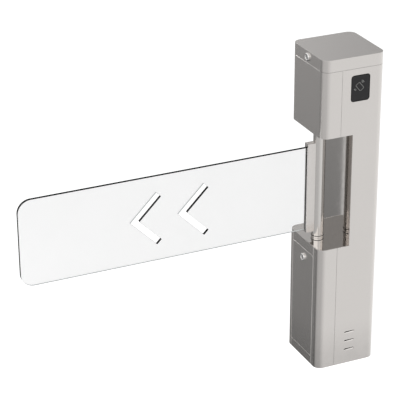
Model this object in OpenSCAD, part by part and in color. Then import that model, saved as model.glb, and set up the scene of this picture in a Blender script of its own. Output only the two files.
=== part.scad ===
/* [Post] */
// Width of the post, left to right
post_w = 200; // [170:1:260]
// Depth of the post, front to back
post_d = 200; // [180:1:260]
// Height of the upper housing, from the notch to the top of the lid
upper_h = 240; // [190:1:440]
// Radius of the post's four upright corners
corner_r = 24; // [12:1:30]
// Thickness of the stainless sheet
sheet_t = 2; // [1.2:0.1:3]
// Height of the lid
lid_h = 36; // [34:1:50]
// Distance of the upright seam on the front from the left face
front_seam = 60; // [50:1:75]
// Width of the seams between the outer sheets
seam_gap = 0.6; // [0.4:0.1:1]

/* [Notch] */
// Height of the notch floor above the ground
notch_bottom = 402; // [362:1:500]
// Height of the notch, from its floor to its ceiling
notch_h = 358; // [322:1:420]
// Depth of the notch from the left face to its wall
notch_w = 100; // [90:1:115]

/* [Access door] */
// Height of the door's lower edge
door_bottom = 28; // [26:1:40]
// Distance of the door's upper edge below the notch
door_over = 32; // [28:1:36]
// Distance of the door's front edge from the front face
door_front = 37.5; // [34:0.5:44]
// Distance of the door's rear edge from the rear face
door_rear = 30; // [30:0.5:40]

/* [Pole and clamp] */
// Distance of the pole's axis from the left face
pole_inset = 45; // [44:1:50]
// Outer diameter of the pole
pole_d = 38; // [36:1:44]
// Wall thickness of the pole
pole_wall = 3; // [2:0.5:4]
// Height of the fixed collars at both ends of the pole
collar_h = 6; // [4:1:10]
// Open ring between each collar and the pole
ring_gap = 2; // [1:0.5:3]
// Thickness of the clamp, front to back
clamp_t = 20; // [18:1:24]
// Distance of the clamp's free end inside the left face
clamp_inset = 2; // [1:0.5:4]
// How far the clamp reaches below the panel
clamp_under = 9; // [6:1:16]
// How far the clamp reaches above the panel
clamp_over = 12; // [6:1:30]

/* [Panel] */
// Reach of the panel beyond the left face
panel_reach = 894; // [600:1:1000]
// Height of the panel's lower edge above the notch floor
panel_rise = 32; // [26:1:50]
// Height of the panel, edge to edge
panel_h = 266; // [230:1:286]
// Thickness of the panel
panel_t = 10; // [8:0.5:12]
// Radius of the panel's free corners
panel_r = 40; // [10:1:80]
// Distance of the outer chevron's tip from the left face
outer_chevron = 561.5; // [540:0.5:580]
// Distance of the inner chevron's tip from the left face
inner_chevron = 413; // [300:0.5:430]
// Half of a chevron's height
chevron_half = 82; // [50:1:100]
// Width of a chevron's stroke
chevron_stroke = 20; // [10:1:26]

/* [Card reader] */
// Width of the reader window
reader_w = 61; // [40:1:66]
// Height of the reader window
reader_h = 80.5; // [60:0.5:82]
// Corner radius of the reader window
reader_r = 9; // [4:0.5:12]
// Distance of the reader's middle from the left face
reader_inset = 119.5; // [116:0.5:124]
// Distance of the reader's middle below the top of the post
reader_drop = 97; // [96:1:130]

/* [Vents] */
// Length of each vent slot
vent_w = 34; // [20:1:40]
// Height of each vent slot
vent_h = 6.5; // [4:0.5:8]
// Distance of the vents' middle from the left face
vent_inset = 111; // [100:1:120]
// Height of the lowest vent
vent_z = 47; // [30:1:60]
// Distance from one vent to the next
vent_pitch = 29.8; // [20:0.1:40]
// Number of vents
vent_count = 3; // [1:1:4]

/* [Locks] */
// Diameter of a lock's round head
lock_d = 23.5; // [22:0.5:26]
// How far a lock's head stands out
lock_proud = 7; // [4:0.5:10]
// Distance of the lid lock's axis below the top of the post
lid_lock_drop = 17.5; // [16:0.5:20]
// Distance of the door lock's axis below the door's upper edge
door_lock_drop = 29; // [28:1:34]
// Length of a lock's cam from its axis
cam_reach = 28; // [27:0.5:32]

/* [Base] */
// Thickness of the base plate
base_t = 10; // [8:1:12]
// Spacing of the anchor holes, both ways
anchor_pitch = 140; // [120:1:146]
// Diameter of the anchor holes
anchor_hole = 14; // [11:1:18]
// Diameter of the cable hole
cable_hole = 50; // [20:1:70]

/* [Drive] */
// Diameter of the drive shaft
shaft_d = 20; // [16:1:22]
// Outer diameter of the ball bearings
bearing_d = 42; // [38:1:44]
// Width of the ball bearings
bearing_w = 12; // [10:1:14]
// Thickness of the two plates that carry the bearings
plate_t = 8; // [6:1:10]
// Tooth size of the sensor gears, pitch diameter over teeth
gear_module = 1.5; // [1.3:0.1:1.5]
// Teeth on the shaft gear
shaft_teeth = 48; // [40:2:48]
// Teeth on the encoder gear
encoder_teeth = 24; // [20:2:28]
// Face width of the sensor gears
gear_w = 12; // [8:1:14]
// Diameter of the motor
motor_d = 68; // [56:1:70]
// Length of the gearbox
gearbox_len = 72; // [60:1:80]
// Length of the motor
motor_len = 80; // [60:1:84]
// Length of the motor's brake
brake_len = 30; // [20:1:32]

/* [Hidden] */

// Faces of a round surface and steps of a rounded corner
$fn = 72;
arc_steps = 8;

// Overrun of a cut, and the gaps of pieces that rest, slide, run or pass beside each other
overrun = 1;
fit_gap = 0.1;
press_gap = 0.05;
run_gap = 0.3;
side_gap = 1;

// Heights of the notch, the post, the door, the reader and the locks
notch_top = notch_bottom + notch_h;
post_h = notch_top + upper_h;
door_top = notch_bottom - door_over;
reader_z = post_h - reader_drop;
lid_lock_z = post_h - lid_lock_drop;
door_lock_z = door_top - door_lock_drop;

// Faces of the post, the seams and the pole's axis
left_x = -post_w / 2;
right_x = post_w / 2;
front_y = -post_d / 2;
rear_y = post_d / 2;
inner_left = left_x + sheet_t;
inner_right = right_x - sheet_t;
inner_front = front_y + sheet_t;
inner_rear = rear_y - sheet_t;
half_seam = seam_gap / 2;
seam_x = left_x + front_seam;
wall_x = left_x + notch_w;
pole_x = left_x + pole_inset;
lid_z = post_h - lid_h;
body_top = lid_z - seam_gap;
door_y0 = front_y + door_front;
door_y1 = rear_y - door_rear;
door_mid = (door_y0 + door_y1) / 2;

// Sheets of the notch
floor_z = notch_bottom - sheet_t;
ceiling_z = notch_top + sheet_t;

// Door frame: depth of the door's gasket, width of the lip round its opening, lap on the corners
gasket_t = 1.5;
door_lip = 10;
jamb_lap = 5;
frame_in = inner_left + gasket_t + sheet_t;

// Hooks of the door and the lid
hook_w = 20;
hook_t = 2.2;
hook_drop = 14;
hook_spread_share = 0.55;
hook_room = 2;
hook_x = inner_left + run_gap;

// Frame under the lid
seat_deep = 12;
seat_rise = 12;
seat_t = 3;
seat_step = 1;
keeper_w = 10;
keeper_off = 2.7;

// Locks: barrel, core, nut and cam
barrel_d = 18;
core_d = 12;
core_proud = 0.8;
nut_t = 4;
nut_across = 24;
head_edge = 1.5;
key_w = 1.6;
key_h = 8;
key_deep = 4;
cam_w = 14;
cam_t = 3;
cam_hole = 8;
lock_end = inner_left + nut_t;
cam_x = lock_end + run_gap;

// Seam strips and angles
strip_w = 30;
strip_t = 3;
angle_w = 30;
angle_t = 3;
angle_x = seam_x + strip_w / 2 + 5 * fit_gap;

// Bearings, their housings and the plates that carry them
plate_top = floor_z;
plate_z = plate_top - plate_t;
upper_plate_top = ceiling_z + plate_t;
plate_reach = 85;
housing_wall = 5;
flange_t = 8;
flange_w = 11;
lip_t = 3;
lip_w = 3;
housing_r = bearing_d / 2 + housing_wall;
flange_r = housing_r + flange_w;
screw_d = 5;
screw_head_d = 8.5;
screw_head_h = 5;
screw_ring = housing_r + flange_w / 2;
screw_grip = 5;
housing_bottom = plate_z - bearing_w - flange_t + lip_t;
bearing_z = housing_bottom + lip_t;
housing_top = upper_plate_top + bearing_w + flange_t - lip_t;
upper_bearing_z = housing_top - lip_t - bearing_w;
shoulder_t = 4;
shoulder_d = shaft_d + 2 * shoulder_t;
plate_hole = shoulder_d + 2 * lip_w;
sheet_hole = shoulder_d + 2 * side_gap;

// Pole and its plugs
pole_z0 = notch_bottom + collar_h + ring_gap;
pole_z1 = notch_top - collar_h - ring_gap;
plug_h = 25;

// Sensor gears, disc and coupling down the shaft
disc_drop = 14;
disc_t = 2;
disc_r = 31;
disc_slots = 3;
disc_z = housing_bottom - disc_drop + disc_t;
fork_jaw = 4;
hub_d = 30;
hub_h = 6;
gear_drop = 52;
gear_z = housing_bottom - gear_drop - gear_w;
coupling_d = 44;
coupling_h = 40;
coupling_gap = 8;
coupling_top = gear_z - hub_h - coupling_gap;
coupling_z = coupling_top - coupling_h;
shaft_end = coupling_z + coupling_h / 2;
output_d = 16;
motor_plate_top = coupling_z - 2 * hub_h;
motor_plate_t = 8;
gearbox_top = motor_plate_top - motor_plate_t;
motor_top = gearbox_top - gearbox_len;
brake_top = motor_top - motor_len;
rib_proud = 1;
pressure_angle = 20;
backlash = 0.1;
gear_distance = gear_module * (shaft_teeth + encoder_teeth) / 2 + backlash;
encoder_x = pole_x + gear_distance;
encoder_d = 38;
encoder_top = gear_z - hub_h - run_gap;
spindle_d = 6;

// Standoffs between the motor plate and the drive plate
post_r = 6;
post_front = 44;
post_left = -29;
post_right = 70;
plate_edge = 8;

// Clamp and panel
liner_t = 1;
slot_half = panel_t / 2 + liner_t;
clamp_half = clamp_t / 2;
clamp_x0 = left_x + clamp_inset;
weld_gap = 0.1;
spine_w = 6;
spine_x = pole_x - pole_d / 2 - spine_w;
panel_end = spine_x - side_gap;
panel_x0 = left_x - panel_reach;
panel_bottom = notch_bottom + panel_rise;
panel_top = panel_bottom + panel_h;
clamp_bottom = panel_bottom - clamp_under;
clamp_top = panel_top + clamp_over;
clamp_screw_d = 6;
clamp_head_d = 11;
clamp_screws_n = 4;
screw_inset = 8;
clamp_screw_x = clamp_x0 + screw_inset;
screw_margin = 24;
screw_step = (panel_h - 2 * screw_margin) / (clamp_screws_n - 1);
tip_r = 4;

// Equipment inside the post
tray_t = 2.5;
tray_off = 3.5;
tray_half = 60;
tray_rise = 30;
tray_under = 15;
tray_z0 = base_t + tray_rise;
tray_z1 = notch_top - tray_under;
tray_x = inner_right - tray_off - tray_t;
foot_r = 7;
foot_inset = 14;
supply_size = [38, 98, 159];
supply_rise = 20;
supply_z = tray_z0 + supply_rise;
rail_h = 35;
rail_deep = 7.5;
rail_rise = 21;
rail_z = supply_z + supply_size[2] + rail_rise;
terminal_size = [34, 7, 43];
terminal_count = 10;
board_size = [1.6, 110, 170];
board_rise = 28;
board_z = notch_bottom + board_rise;
board_off = 12;
board_x = tray_x - board_off - board_size[0];

// What is soldered on the board: sizes, and places as shares of its half width and its height
relay_size = [16, 15, 19];
relay_shares = [0.12, 0.30, 0.48];
relay_row_share = 0.72;
capacitor_r = 6;
capacitor_h = 15;
capacitor_share = 1 / 3;
capacitor_row_shares = [0.22, 0.40];
chip_size = [2.4, 14, 14];
chip_row_share = 0.4;
plug_size = [11, 8, 60];
plug_share = 0.84;
plug_row_share = 0.2;

// Reader behind its window
window_back = 1.5;
window_lap = 4;
reader_wall = 2.5;
reader_deep = 24;
reader_board_t = 1.6;
reader_x = left_x + reader_inset;
reader_post_h = 8;

// Points of a quarter turn of a rounded corner
function corner_arc(cx, cy, r, from) = [for (i = [0:arc_steps])
    [cx + r * cos(from + 90 * i / arc_steps), cy + r * sin(from + 90 * i / arc_steps)]];

// Outline of a rounded rectangle about the origin
function rounded_outline(w, d, r) = concat(
    corner_arc(w / 2 - r, d / 2 - r, r, 0),
    corner_arc(r - w / 2, d / 2 - r, r, 90),
    corner_arc(r - w / 2, r - d / 2, r, 180),
    corner_arc(w / 2 - r, r - d / 2, r, 270));

// Box between two corners
module block(x, y, z) {
    translate([x[0], y[0], z[0]])
        cube([x[1] - x[0], y[1] - y[0], z[1] - z[0]]);
}

// Upright cylinder on the pole's axis, or beside it
module round_bar(r, z, x = pole_x, y = 0) {
    translate([x, y, z[0]])
        cylinder(r = r, h = z[1] - z[0]);
}

// Cylinder along X, or along Y, from a point
module bar_x(r, x, y, z) {
    translate([x[0], y, z])
        rotate([0, 90, 0])
            cylinder(r = r, h = x[1] - x[0]);
}
module bar_y(r, x, y, z) {
    translate([x, y[0], z])
        rotate([-90, 0, 0])
            cylinder(r = r, h = y[1] - y[0]);
}

// The post's outline, grown or shrunk by a distance
module post_outline(inset) {
    polygon(rounded_outline(post_w - 2 * inset, post_d - 2 * inset, corner_r - inset));
}

// A sheet wall round the post, between two insets
module post_wall(outer, inner) {
    difference() {
        post_outline(outer);
        post_outline(inner);
    }
}

// A flat region of the plan
module region(x, y) {
    translate([x[0], y[0]])
        square([x[1] - x[0], y[1] - y[0]]);
}

// Part of the sheet wall between two heights, cut to a region of the plan
module wall_part(z, x, y) {
    translate([0, 0, z[0]])
        linear_extrude(z[1] - z[0])
            intersection() {
                post_wall(0, sheet_t);
                region(x, y);
            }
}

// Tall right part of the post with its vents and the reader's cut-out
module column_shell() {
    color([0.80, 0.79, 0.77]) {
        difference() {
            wall_part([0, body_top], [seam_x + half_seam, right_x + overrun],
                [front_y - overrun, rear_y + overrun]);
            block([seam_x, wall_x], [front_y - overrun, rear_y + overrun], [notch_bottom, notch_top]);
            reader_cut(run_gap, [front_y - overrun, inner_front + overrun]);
            for (i = [0:vent_count - 1])
                vent_cut(vent_z + i * vent_pitch);
        }
        for (i = [0:vent_count - 1])
            vent_blade(vent_z + i * vent_pitch);
    }
}

// A slot with round ends through the front sheet
module vent_cut(z) {
    x = left_x + vent_inset;
    end = vent_w / 2 - vent_h / 2;
    depth = [front_y - overrun, inner_front + overrun];
    bar_y(vent_h / 2, x - end, depth, z);
    bar_y(vent_h / 2, x + end, depth, z);
    block([x - end, x + end], depth, [z - vent_h / 2, z + vent_h / 2]);
}

// The louvre blade that slopes down and inwards behind a slot
module vent_blade(z) {
    blade = sheet_t / 2;
    reach = 3 * blade;
    translate([left_x + vent_inset - vent_w / 2, 0, z])
        rotate([90, 0, 90])
            linear_extrude(vent_w)
                polygon([[inner_front - blade, vent_h / 2 + blade], [inner_front, vent_h / 2],
                    [inner_front + reach, -vent_h / 2], [inner_front + reach + blade, -vent_h / 2],
                    [inner_front + blade, vent_h / 2 + blade]]);
}

// Front and rear left corners of the lower housing
module lower_front_corner() {
    color([0.78, 0.77, 0.75])
        wall_part([0, notch_bottom], [left_x - overrun, seam_x - half_seam],
            [front_y - overrun, door_y0 - half_seam]);
}
module lower_rear_corner() {
    color([0.78, 0.77, 0.75])
        wall_part([0, notch_bottom], [left_x - overrun, seam_x - half_seam],
            [door_y1 + half_seam, rear_y + overrun]);
}

// Left part of the upper housing
module upper_shell() {
    color([0.78, 0.77, 0.75])
        wall_part([notch_top, body_top], [left_x - overrun, seam_x - half_seam],
            [front_y - overrun, rear_y + overrun]);
}

// Strips above and below the door, and the frame behind the door's edges
module door_frame() {
    y = [door_y0 + half_seam, door_y1 - half_seam];
    z0 = door_bottom + door_lip;
    z1 = door_top - door_lip;
    color([0.70, 0.69, 0.67])
        difference() {
            union() {
                block([left_x, inner_left], y, [0, door_bottom - half_seam]);
                block([left_x, inner_left], y, [door_top + half_seam, notch_bottom]);
                block([inner_left, frame_in], [door_y0 - jamb_lap, door_y1 + jamb_lap], [base_t, floor_z]);
            }
            block([inner_left - overrun, frame_in + overrun],
                [door_y0 + door_lip, door_y1 - door_lip], [z0, z1]);
            block([inner_left - overrun, inner_left + gasket_t], y,
                [door_bottom - half_seam, door_top + half_seam]);
            for (side = [-1, 1])
                block([inner_left, frame_in + overrun],
                    [hook_y(side) - hook_w / 2 - hook_room, hook_y(side) + hook_w / 2 + hook_room],
                    [base_t + overrun, z0 + overrun]);
        }
}

// Middle of each of the door's two hooks
function hook_y(side) = door_mid + side * hook_spread_share * (door_y1 - door_y0) / 2;

// Seal on the frame's lip, open at the bottom where the hooks pass
module door_gasket() {
    rim = seam_gap;
    color([0.08, 0.08, 0.08])
        difference() {
            block([inner_left + run_gap, inner_left + gasket_t],
                [door_y0 + rim, door_y1 - rim], [door_bottom + door_lip, door_top - rim]);
            block([inner_left, inner_left + gasket_t + overrun],
                [door_y0 + door_lip, door_y1 - door_lip],
                [door_bottom, door_top - door_lip]);
        }
}

// Door with two hooks that drop behind the strip under it
module access_door() {
    color([0.72, 0.71, 0.69])
        difference() {
            union() {
                block([left_x, inner_left], [door_y0 + half_seam, door_y1 - half_seam],
                    [door_bottom + half_seam, door_top - half_seam]);
                for (side = [-1, 1]) {
                    y = [hook_y(side) - hook_w / 2, hook_y(side) + hook_w / 2];
                    block([inner_left, hook_x + hook_t], y,
                        [door_bottom + half_seam, door_bottom + hook_drop]);
                    block([hook_x, hook_x + hook_t], y,
                        [door_bottom - hook_drop, door_bottom + hook_drop]);
                }
            }
            bar_x(barrel_d / 2 + fit_gap, [left_x - overrun, inner_left + overrun], 0, door_lock_z);
        }
}

// Lock: head with a bevelled edge, barrel and nut, bored for its core
module lock_body(z) {
    color([0.62, 0.62, 0.61])
        difference() {
            union() {
                bar_x(lock_d / 2, [left_x - lock_proud + head_edge, left_x], 0, z);
                translate([left_x - lock_proud, 0, z])
                    rotate([0, 90, 0])
                        cylinder(r1 = lock_d / 2 - head_edge, r2 = lock_d / 2, h = head_edge);
                bar_x(barrel_d / 2, [left_x - overrun, lock_end], 0, z);
                translate([inner_left, 0, z])
                    rotate([0, 90, 0])
                        cylinder(d = nut_across, h = nut_t, $fn = 6);
            }
            bar_x(core_d / 2 + press_gap, [left_x - lock_proud - overrun, lock_end + overrun], 0, z);
        }
}

// Turning core with its key slot and the square-shouldered stub that drives the cam
module lock_core(z) {
    color([0.45, 0.45, 0.45])
        difference() {
            union() {
                bar_x(core_d / 2, [left_x - lock_proud + core_proud, cam_x - press_gap], 0, z);
                bar_x(cam_hole / 2, [cam_x - overrun, cam_x + cam_t], 0, z);
            }
            block([left_x - lock_proud - overrun, left_x - lock_proud + key_deep],
                [-key_w / 2, key_w / 2], [z - key_h / 2, z + key_h / 2]);
        }
}

// Cam that points along +Y before it is turned
module cam_arm(z) {
    color([0.66, 0.66, 0.64])
        difference() {
            union() {
                bar_x(cam_w / 2, [cam_x, cam_x + cam_t], 0, z);
                block([cam_x, cam_x + cam_t], [0, cam_reach], [z - cam_w / 2, z + cam_w / 2]);
            }
            bar_x(cam_hole / 2 + press_gap, [cam_x - overrun, cam_x + cam_t + overrun], 0, z);
        }
}

module door_lock_body() lock_body(door_lock_z);
module door_lock_core() lock_core(door_lock_z);
module door_lock_cam() cam_arm(door_lock_z);
module lid_lock_body() lock_body(lid_lock_z);
module lid_lock_core() lock_core(lid_lock_z);

// The lid's cam hangs down, clear of its keeper
module lid_lock_cam() {
    translate([0, 0, lid_lock_z])
        rotate([-90, 0, 0])
            translate([0, 0, -lid_lock_z])
                cam_arm(lid_lock_z);
}

// Lid: a cap with two hooks that drop inside the right wall
module lid() {
    color([0.72, 0.71, 0.70])
        difference() {
            union() {
                translate([0, 0, lid_z])
                    linear_extrude(lid_h - sheet_t)
                        post_wall(0, sheet_t);
                translate([0, 0, post_h - sheet_t])
                    linear_extrude(sheet_t)
                        post_outline(0);
                for (side = [-1, 1])
                    lid_hook(side * hook_spread_share * (post_d / 2 - corner_r));
            }
            bar_x(barrel_d / 2 + fit_gap, [left_x - overrun, inner_left + overrun], 0, lid_lock_z);
        }
}
module lid_hook(y) {
    x1 = inner_right - run_gap;
    block([x1 - hook_t, inner_right], [y - hook_w / 2, y + hook_w / 2], [lid_z, lid_z + hook_drop]);
    block([x1 - hook_t, x1], [y - hook_w / 2, y + hook_w / 2], [lid_z - hook_drop, lid_z + hook_drop]);
}

// Rim inside the top of the post on three sides, with the keeper that the lid's cam turns under
module lid_seat_frame() {
    step = sheet_t + seat_step;
    lock_room = nut_across / 2 + hook_room;
    keeper_x = [inner_left + keeper_off, cam_x + cam_t];
    post_y = cam_reach + hook_room;
    under = lid_lock_z + cam_w / 2 + run_gap;
    color([0.66, 0.66, 0.64])
        difference() {
            union() {
                seat_ring(sheet_t + fit_gap, [body_top - seat_deep, body_top]);
                seat_ring(step, [body_top - seat_t, lid_z + seat_rise]);
                block(keeper_x, [post_y, post_y + seat_t], [body_top - seat_deep, under + seat_t]);
                block(keeper_x, [post_y - keeper_w, post_y + seat_t], [under, under + seat_t]);
            }
            block([left_x, cam_x], [-lock_room, lock_room], [lid_lock_z - lock_room, post_h]);
        }
}
module seat_ring(inset, z) {
    translate([0, 0, z[0]])
        linear_extrude(z[1] - z[0])
            intersection() {
                post_wall(inset, sheet_t + fit_gap + seat_t);
                region([left_x, right_x - corner_r - seat_t], [front_y, rear_y]);
            }
}

// Sheets that line the notch
module notch_wall() {
    color([0.55, 0.54, 0.53])
        block([wall_x, wall_x + sheet_t], [inner_front, inner_rear], [floor_z, ceiling_z]);
}
module notch_sheet(z) {
    color([0.62, 0.62, 0.60])
        difference() {
            translate([0, 0, z])
                linear_extrude(sheet_t)
                    intersection() {
                        post_outline(sheet_t + fit_gap);
                        region([left_x, wall_x], [front_y, rear_y]);
                    }
            round_bar(sheet_hole / 2, [z - overrun, z + sheet_t + overrun]);
        }
}
module notch_floor() notch_sheet(floor_z);
module notch_ceiling() notch_sheet(notch_top);

// Fixed rings at both ends of the pole
module collar(z) {
    color([0.75, 0.74, 0.72])
        difference() {
            round_bar(pole_d / 2, z);
            round_bar(shaft_d / 2 + 2 * run_gap, [z[0] - overrun, z[1] + overrun]);
        }
}
module lower_collar() collar([notch_bottom, notch_bottom + collar_h]);
module upper_collar() collar([notch_top - collar_h, notch_top]);

// Base plate with anchor holes and a cable hole
module base_plate() {
    color([0.50, 0.50, 0.50])
        difference() {
            linear_extrude(base_t)
                polygon(rounded_outline(post_w - 2 * sheet_t, post_d - 2 * sheet_t, corner_r + sheet_t));
            for (sx = [-1, 1], sy = [-1, 1])
                round_bar(anchor_hole / 2, [-overrun, base_t + overrun],
                    sx * anchor_pitch / 2, sy * anchor_pitch / 2);
            round_bar(cable_hole / 2, [-overrun, base_t + overrun], 0, 0);
        }
}

// Strips that join the shells behind the front and rear seams
module seam_strips() {
    x = [seam_x - strip_w / 2, seam_x + strip_w / 2];
    low = [base_t, plate_z - side_gap];
    high = [upper_plate_top + side_gap, body_top - seat_deep - side_gap];
    color([0.60, 0.60, 0.60])
        for (z = [low, high]) {
            block(x, [inner_front, inner_front + strip_t], z);
            block(x, [inner_rear - strip_t, inner_rear], z);
        }
}

// Plates that carry the two bearings
module bearing_plate(z) {
    color([0.55, 0.56, 0.58])
        difference() {
            translate([0, 0, z])
                linear_extrude(plate_t)
                    intersection() {
                        post_outline(sheet_t + run_gap);
                        region([frame_in + run_gap, pole_x + plate_reach], [front_y, rear_y]);
                    }
            round_bar(plate_hole / 2, [z - overrun, z + plate_t + overrun]);
            for (a = [45:90:315])
                round_bar(screw_d / 2 + press_gap, [z - overrun, z + plate_t + overrun],
                    pole_x + screw_ring * cos(a), screw_ring * sin(a));
        }
}
module drive_plate() bearing_plate(plate_z);
module upper_plate() bearing_plate(ceiling_z);

// Angles under the drive plate and above the upper plate, fixed to the front and rear walls
module support_angles() {
    x = [angle_x, right_x - corner_r / 2];
    color([0.60, 0.60, 0.60]) {
        angle_bar(x, [plate_z - angle_w, plate_z], plate_z - angle_t);
        angle_bar(x, [upper_plate_top, upper_plate_top + angle_w], upper_plate_top);
    }
}
module angle_bar(x, z, leg_z) {
    x1 = right_x - corner_r;
    block([x[0], x1], [inner_front, inner_front + angle_t], z);
    block([x[0], x1], [inner_front, inner_front + angle_w], [leg_z, leg_z + angle_t]);
    block([x[0], x1], [inner_rear - angle_t, inner_rear], z);
    block([x[0], x1], [inner_rear - angle_w, inner_rear], [leg_z, leg_z + angle_t]);
}

// Flanged bearing housing that hangs under the drive plate
module lower_bearing_housing() {
    color([0.52, 0.53, 0.55])
        difference() {
            union() {
                round_bar(housing_r, [housing_bottom, plate_z]);
                round_bar(flange_r, [plate_z - flange_t, plate_z]);
            }
            round_bar(bearing_d / 2, [bearing_z, plate_z + overrun]);
            round_bar(bearing_d / 2 - lip_w, [housing_bottom - overrun, plate_z]);
            screw_holes([plate_z - flange_t - overrun, plate_z + overrun]);
        }
}

// Flanged bearing housing that stands on the upper plate
module upper_bearing_housing() {
    bearing_top = upper_bearing_z + bearing_w;
    color([0.52, 0.53, 0.55])
        difference() {
            union() {
                round_bar(housing_r, [upper_plate_top, housing_top]);
                round_bar(flange_r, [upper_plate_top, upper_plate_top + flange_t]);
            }
            round_bar(bearing_d / 2, [upper_plate_top - overrun, bearing_top]);
            round_bar(bearing_d / 2 - lip_w, [upper_plate_top, housing_top + overrun]);
            screw_holes([upper_plate_top - overrun, upper_plate_top + flange_t + overrun]);
        }
}
module screw_holes(z) {
    for (a = [45:90:315])
        round_bar(screw_d / 2 + press_gap, z,
            pole_x + screw_ring * cos(a), screw_ring * sin(a));
}

// Ball bearing as one ring that the shaft runs in
module ball_bearing(z) {
    groove_w = bearing_w / 12;
    color([0.68, 0.69, 0.70])
        difference() {
            round_bar(bearing_d / 2 - press_gap, [z, z + bearing_w]);
            round_bar(shaft_d / 2 + press_gap, [z - overrun, z + bearing_w + overrun]);
            for (face = [z - overrun, z + bearing_w - groove_w])
                difference() {
                    round_bar(bearing_d / 2 - lip_w, [face, face + groove_w + overrun]);
                    round_bar(shaft_d / 2 + lip_w, [face - overrun, face + groove_w + 2 * overrun]);
                }
        }
}
module lower_bearing() ball_bearing(bearing_z);
module upper_bearing() ball_bearing(upper_bearing_z);

// Screws that hold the bearing housings and the gearbox
module drive_screws() {
    low_face = plate_z - flange_t;
    high_face = upper_plate_top + flange_t;
    color([0.30, 0.30, 0.31]) {
        for (a = [45:90:315]) {
            x = pole_x + screw_ring * cos(a);
            y = screw_ring * sin(a);
            round_bar(screw_head_d / 2, [low_face - screw_head_h, low_face], x, y);
            round_bar(screw_d / 2, [low_face - overrun, plate_z + screw_grip], x, y);
            round_bar(screw_head_d / 2, [high_face, high_face + screw_head_h], x, y);
            round_bar(screw_d / 2, [upper_plate_top - screw_grip, high_face + overrun], x, y);
        }
        for (a = [0:90:270]) {
            x = pole_x + gearbox_screw_ring() * cos(a);
            y = gearbox_screw_ring() * sin(a);
            round_bar(screw_head_d / 2, [motor_plate_top, motor_plate_top + screw_head_h], x, y);
            round_bar(screw_d / 2, [gearbox_top - screw_grip, motor_plate_top + overrun], x, y);
        }
    }
}
function gearbox_screw_ring() = motor_d / 2 - screw_d;

// Plate that carries the gear motor and the encoder, on four standoffs
module motor_plate() {
    color([0.55, 0.56, 0.58])
        difference() {
            block([pole_x + post_left - plate_edge, pole_x + post_right + plate_edge],
                [-post_front - plate_edge, post_front + plate_edge], [gearbox_top, motor_plate_top]);
            round_bar(output_d / 2 + 4 * run_gap, [gearbox_top - overrun, motor_plate_top + overrun]);
            for (a = [0:90:270])
                round_bar(screw_d / 2 + press_gap, [gearbox_top - overrun, motor_plate_top + overrun],
                    pole_x + gearbox_screw_ring() * cos(a), gearbox_screw_ring() * sin(a));
        }
}
module drive_standoffs() {
    color([0.66, 0.67, 0.68])
        for (x = [post_left, post_right], side = [-1, 1])
            round_bar(post_r, [motor_plate_top, plate_z], pole_x + x, side * post_front);
}

// Gear motor with its brake
module gearbox() {
    rib = gearbox_len / 12;
    r = motor_d / 2 + 2 * run_gap;
    color([0.40, 0.41, 0.43])
        difference() {
            union() {
                round_bar(r, [motor_top, gearbox_top]);
                round_bar(r + rib_proud, [gearbox_top - 2 * rib, gearbox_top - rib]);
                round_bar(r + rib_proud, [motor_top + rib, motor_top + 2 * rib]);
            }
            round_bar(output_d / 2 + press_gap, [gearbox_top - 2 * screw_grip - overrun,
                gearbox_top + overrun]);
            for (a = [0:90:270])
                round_bar(screw_d / 2 + press_gap, [gearbox_top - screw_grip, gearbox_top + overrun],
                    pole_x + gearbox_screw_ring() * cos(a), gearbox_screw_ring() * sin(a));
        }
}
module motor() {
    fins = 9;
    fin_step = motor_len / (fins + 1);
    color([0.16, 0.17, 0.18])
        difference() {
            round_bar(motor_d / 2, [brake_top, motor_top]);
            for (i = [1:fins])
                difference() {
                    round_bar(motor_d, [brake_top + i * fin_step - fin_step / 4,
                        brake_top + i * fin_step + fin_step / 4]);
                    round_bar(motor_d / 2 - fin_step / 3, [brake_top, motor_top]);
                }
        }
}
module motor_brake() {
    cap = brake_len / 6;
    color([0.22, 0.23, 0.25]) {
        round_bar(motor_d / 2 - side_gap, [brake_top - brake_len + cap, brake_top]);
        round_bar(motor_d / 2 - cap, [brake_top - brake_len, brake_top - brake_len + cap]);
    }
}

// Shaft that the arm hangs on, down to the coupling
module lower_shaft() {
    color([0.60, 0.60, 0.61]) {
        round_bar(shaft_d / 2, [shaft_end, pole_z0 + plug_h]);
        round_bar(shoulder_d / 2, [bearing_z + bearing_w + run_gap, floor_z - side_gap]);
    }
}
module upper_shaft() {
    color([0.60, 0.60, 0.61]) {
        round_bar(shaft_d / 2, [pole_z1 - plug_h, housing_top + 2 * side_gap]);
        round_bar(shoulder_d / 2, [ceiling_z + side_gap, upper_bearing_z - run_gap]);
    }
}

// Pole with a plug in each end
module pole_tube() {
    color([0.75, 0.74, 0.72])
        difference() {
            round_bar(pole_d / 2, [pole_z0, pole_z1]);
            round_bar(pole_d / 2 - pole_wall, [pole_z0 - overrun, pole_z1 + overrun]);
        }
}
module pole_plugs() {
    color([0.58, 0.58, 0.58])
        for (z = [[pole_z0, pole_z0 + plug_h], [pole_z1 - plug_h, pole_z1]])
            difference() {
                round_bar(pole_d / 2 - pole_wall - press_gap, z);
                round_bar(shaft_d / 2 + press_gap, [z[0] - overrun, z[1] + overrun]);
            }
}

// Room for the pole in what is welded to it
module pole_room() {
    round_bar(pole_d / 2 + weld_gap, [clamp_bottom - overrun, clamp_top + overrun]);
}

// Heights of the clamp screws
function clamp_screw_z(i) = panel_bottom + screw_margin + i * screw_step;

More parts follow.
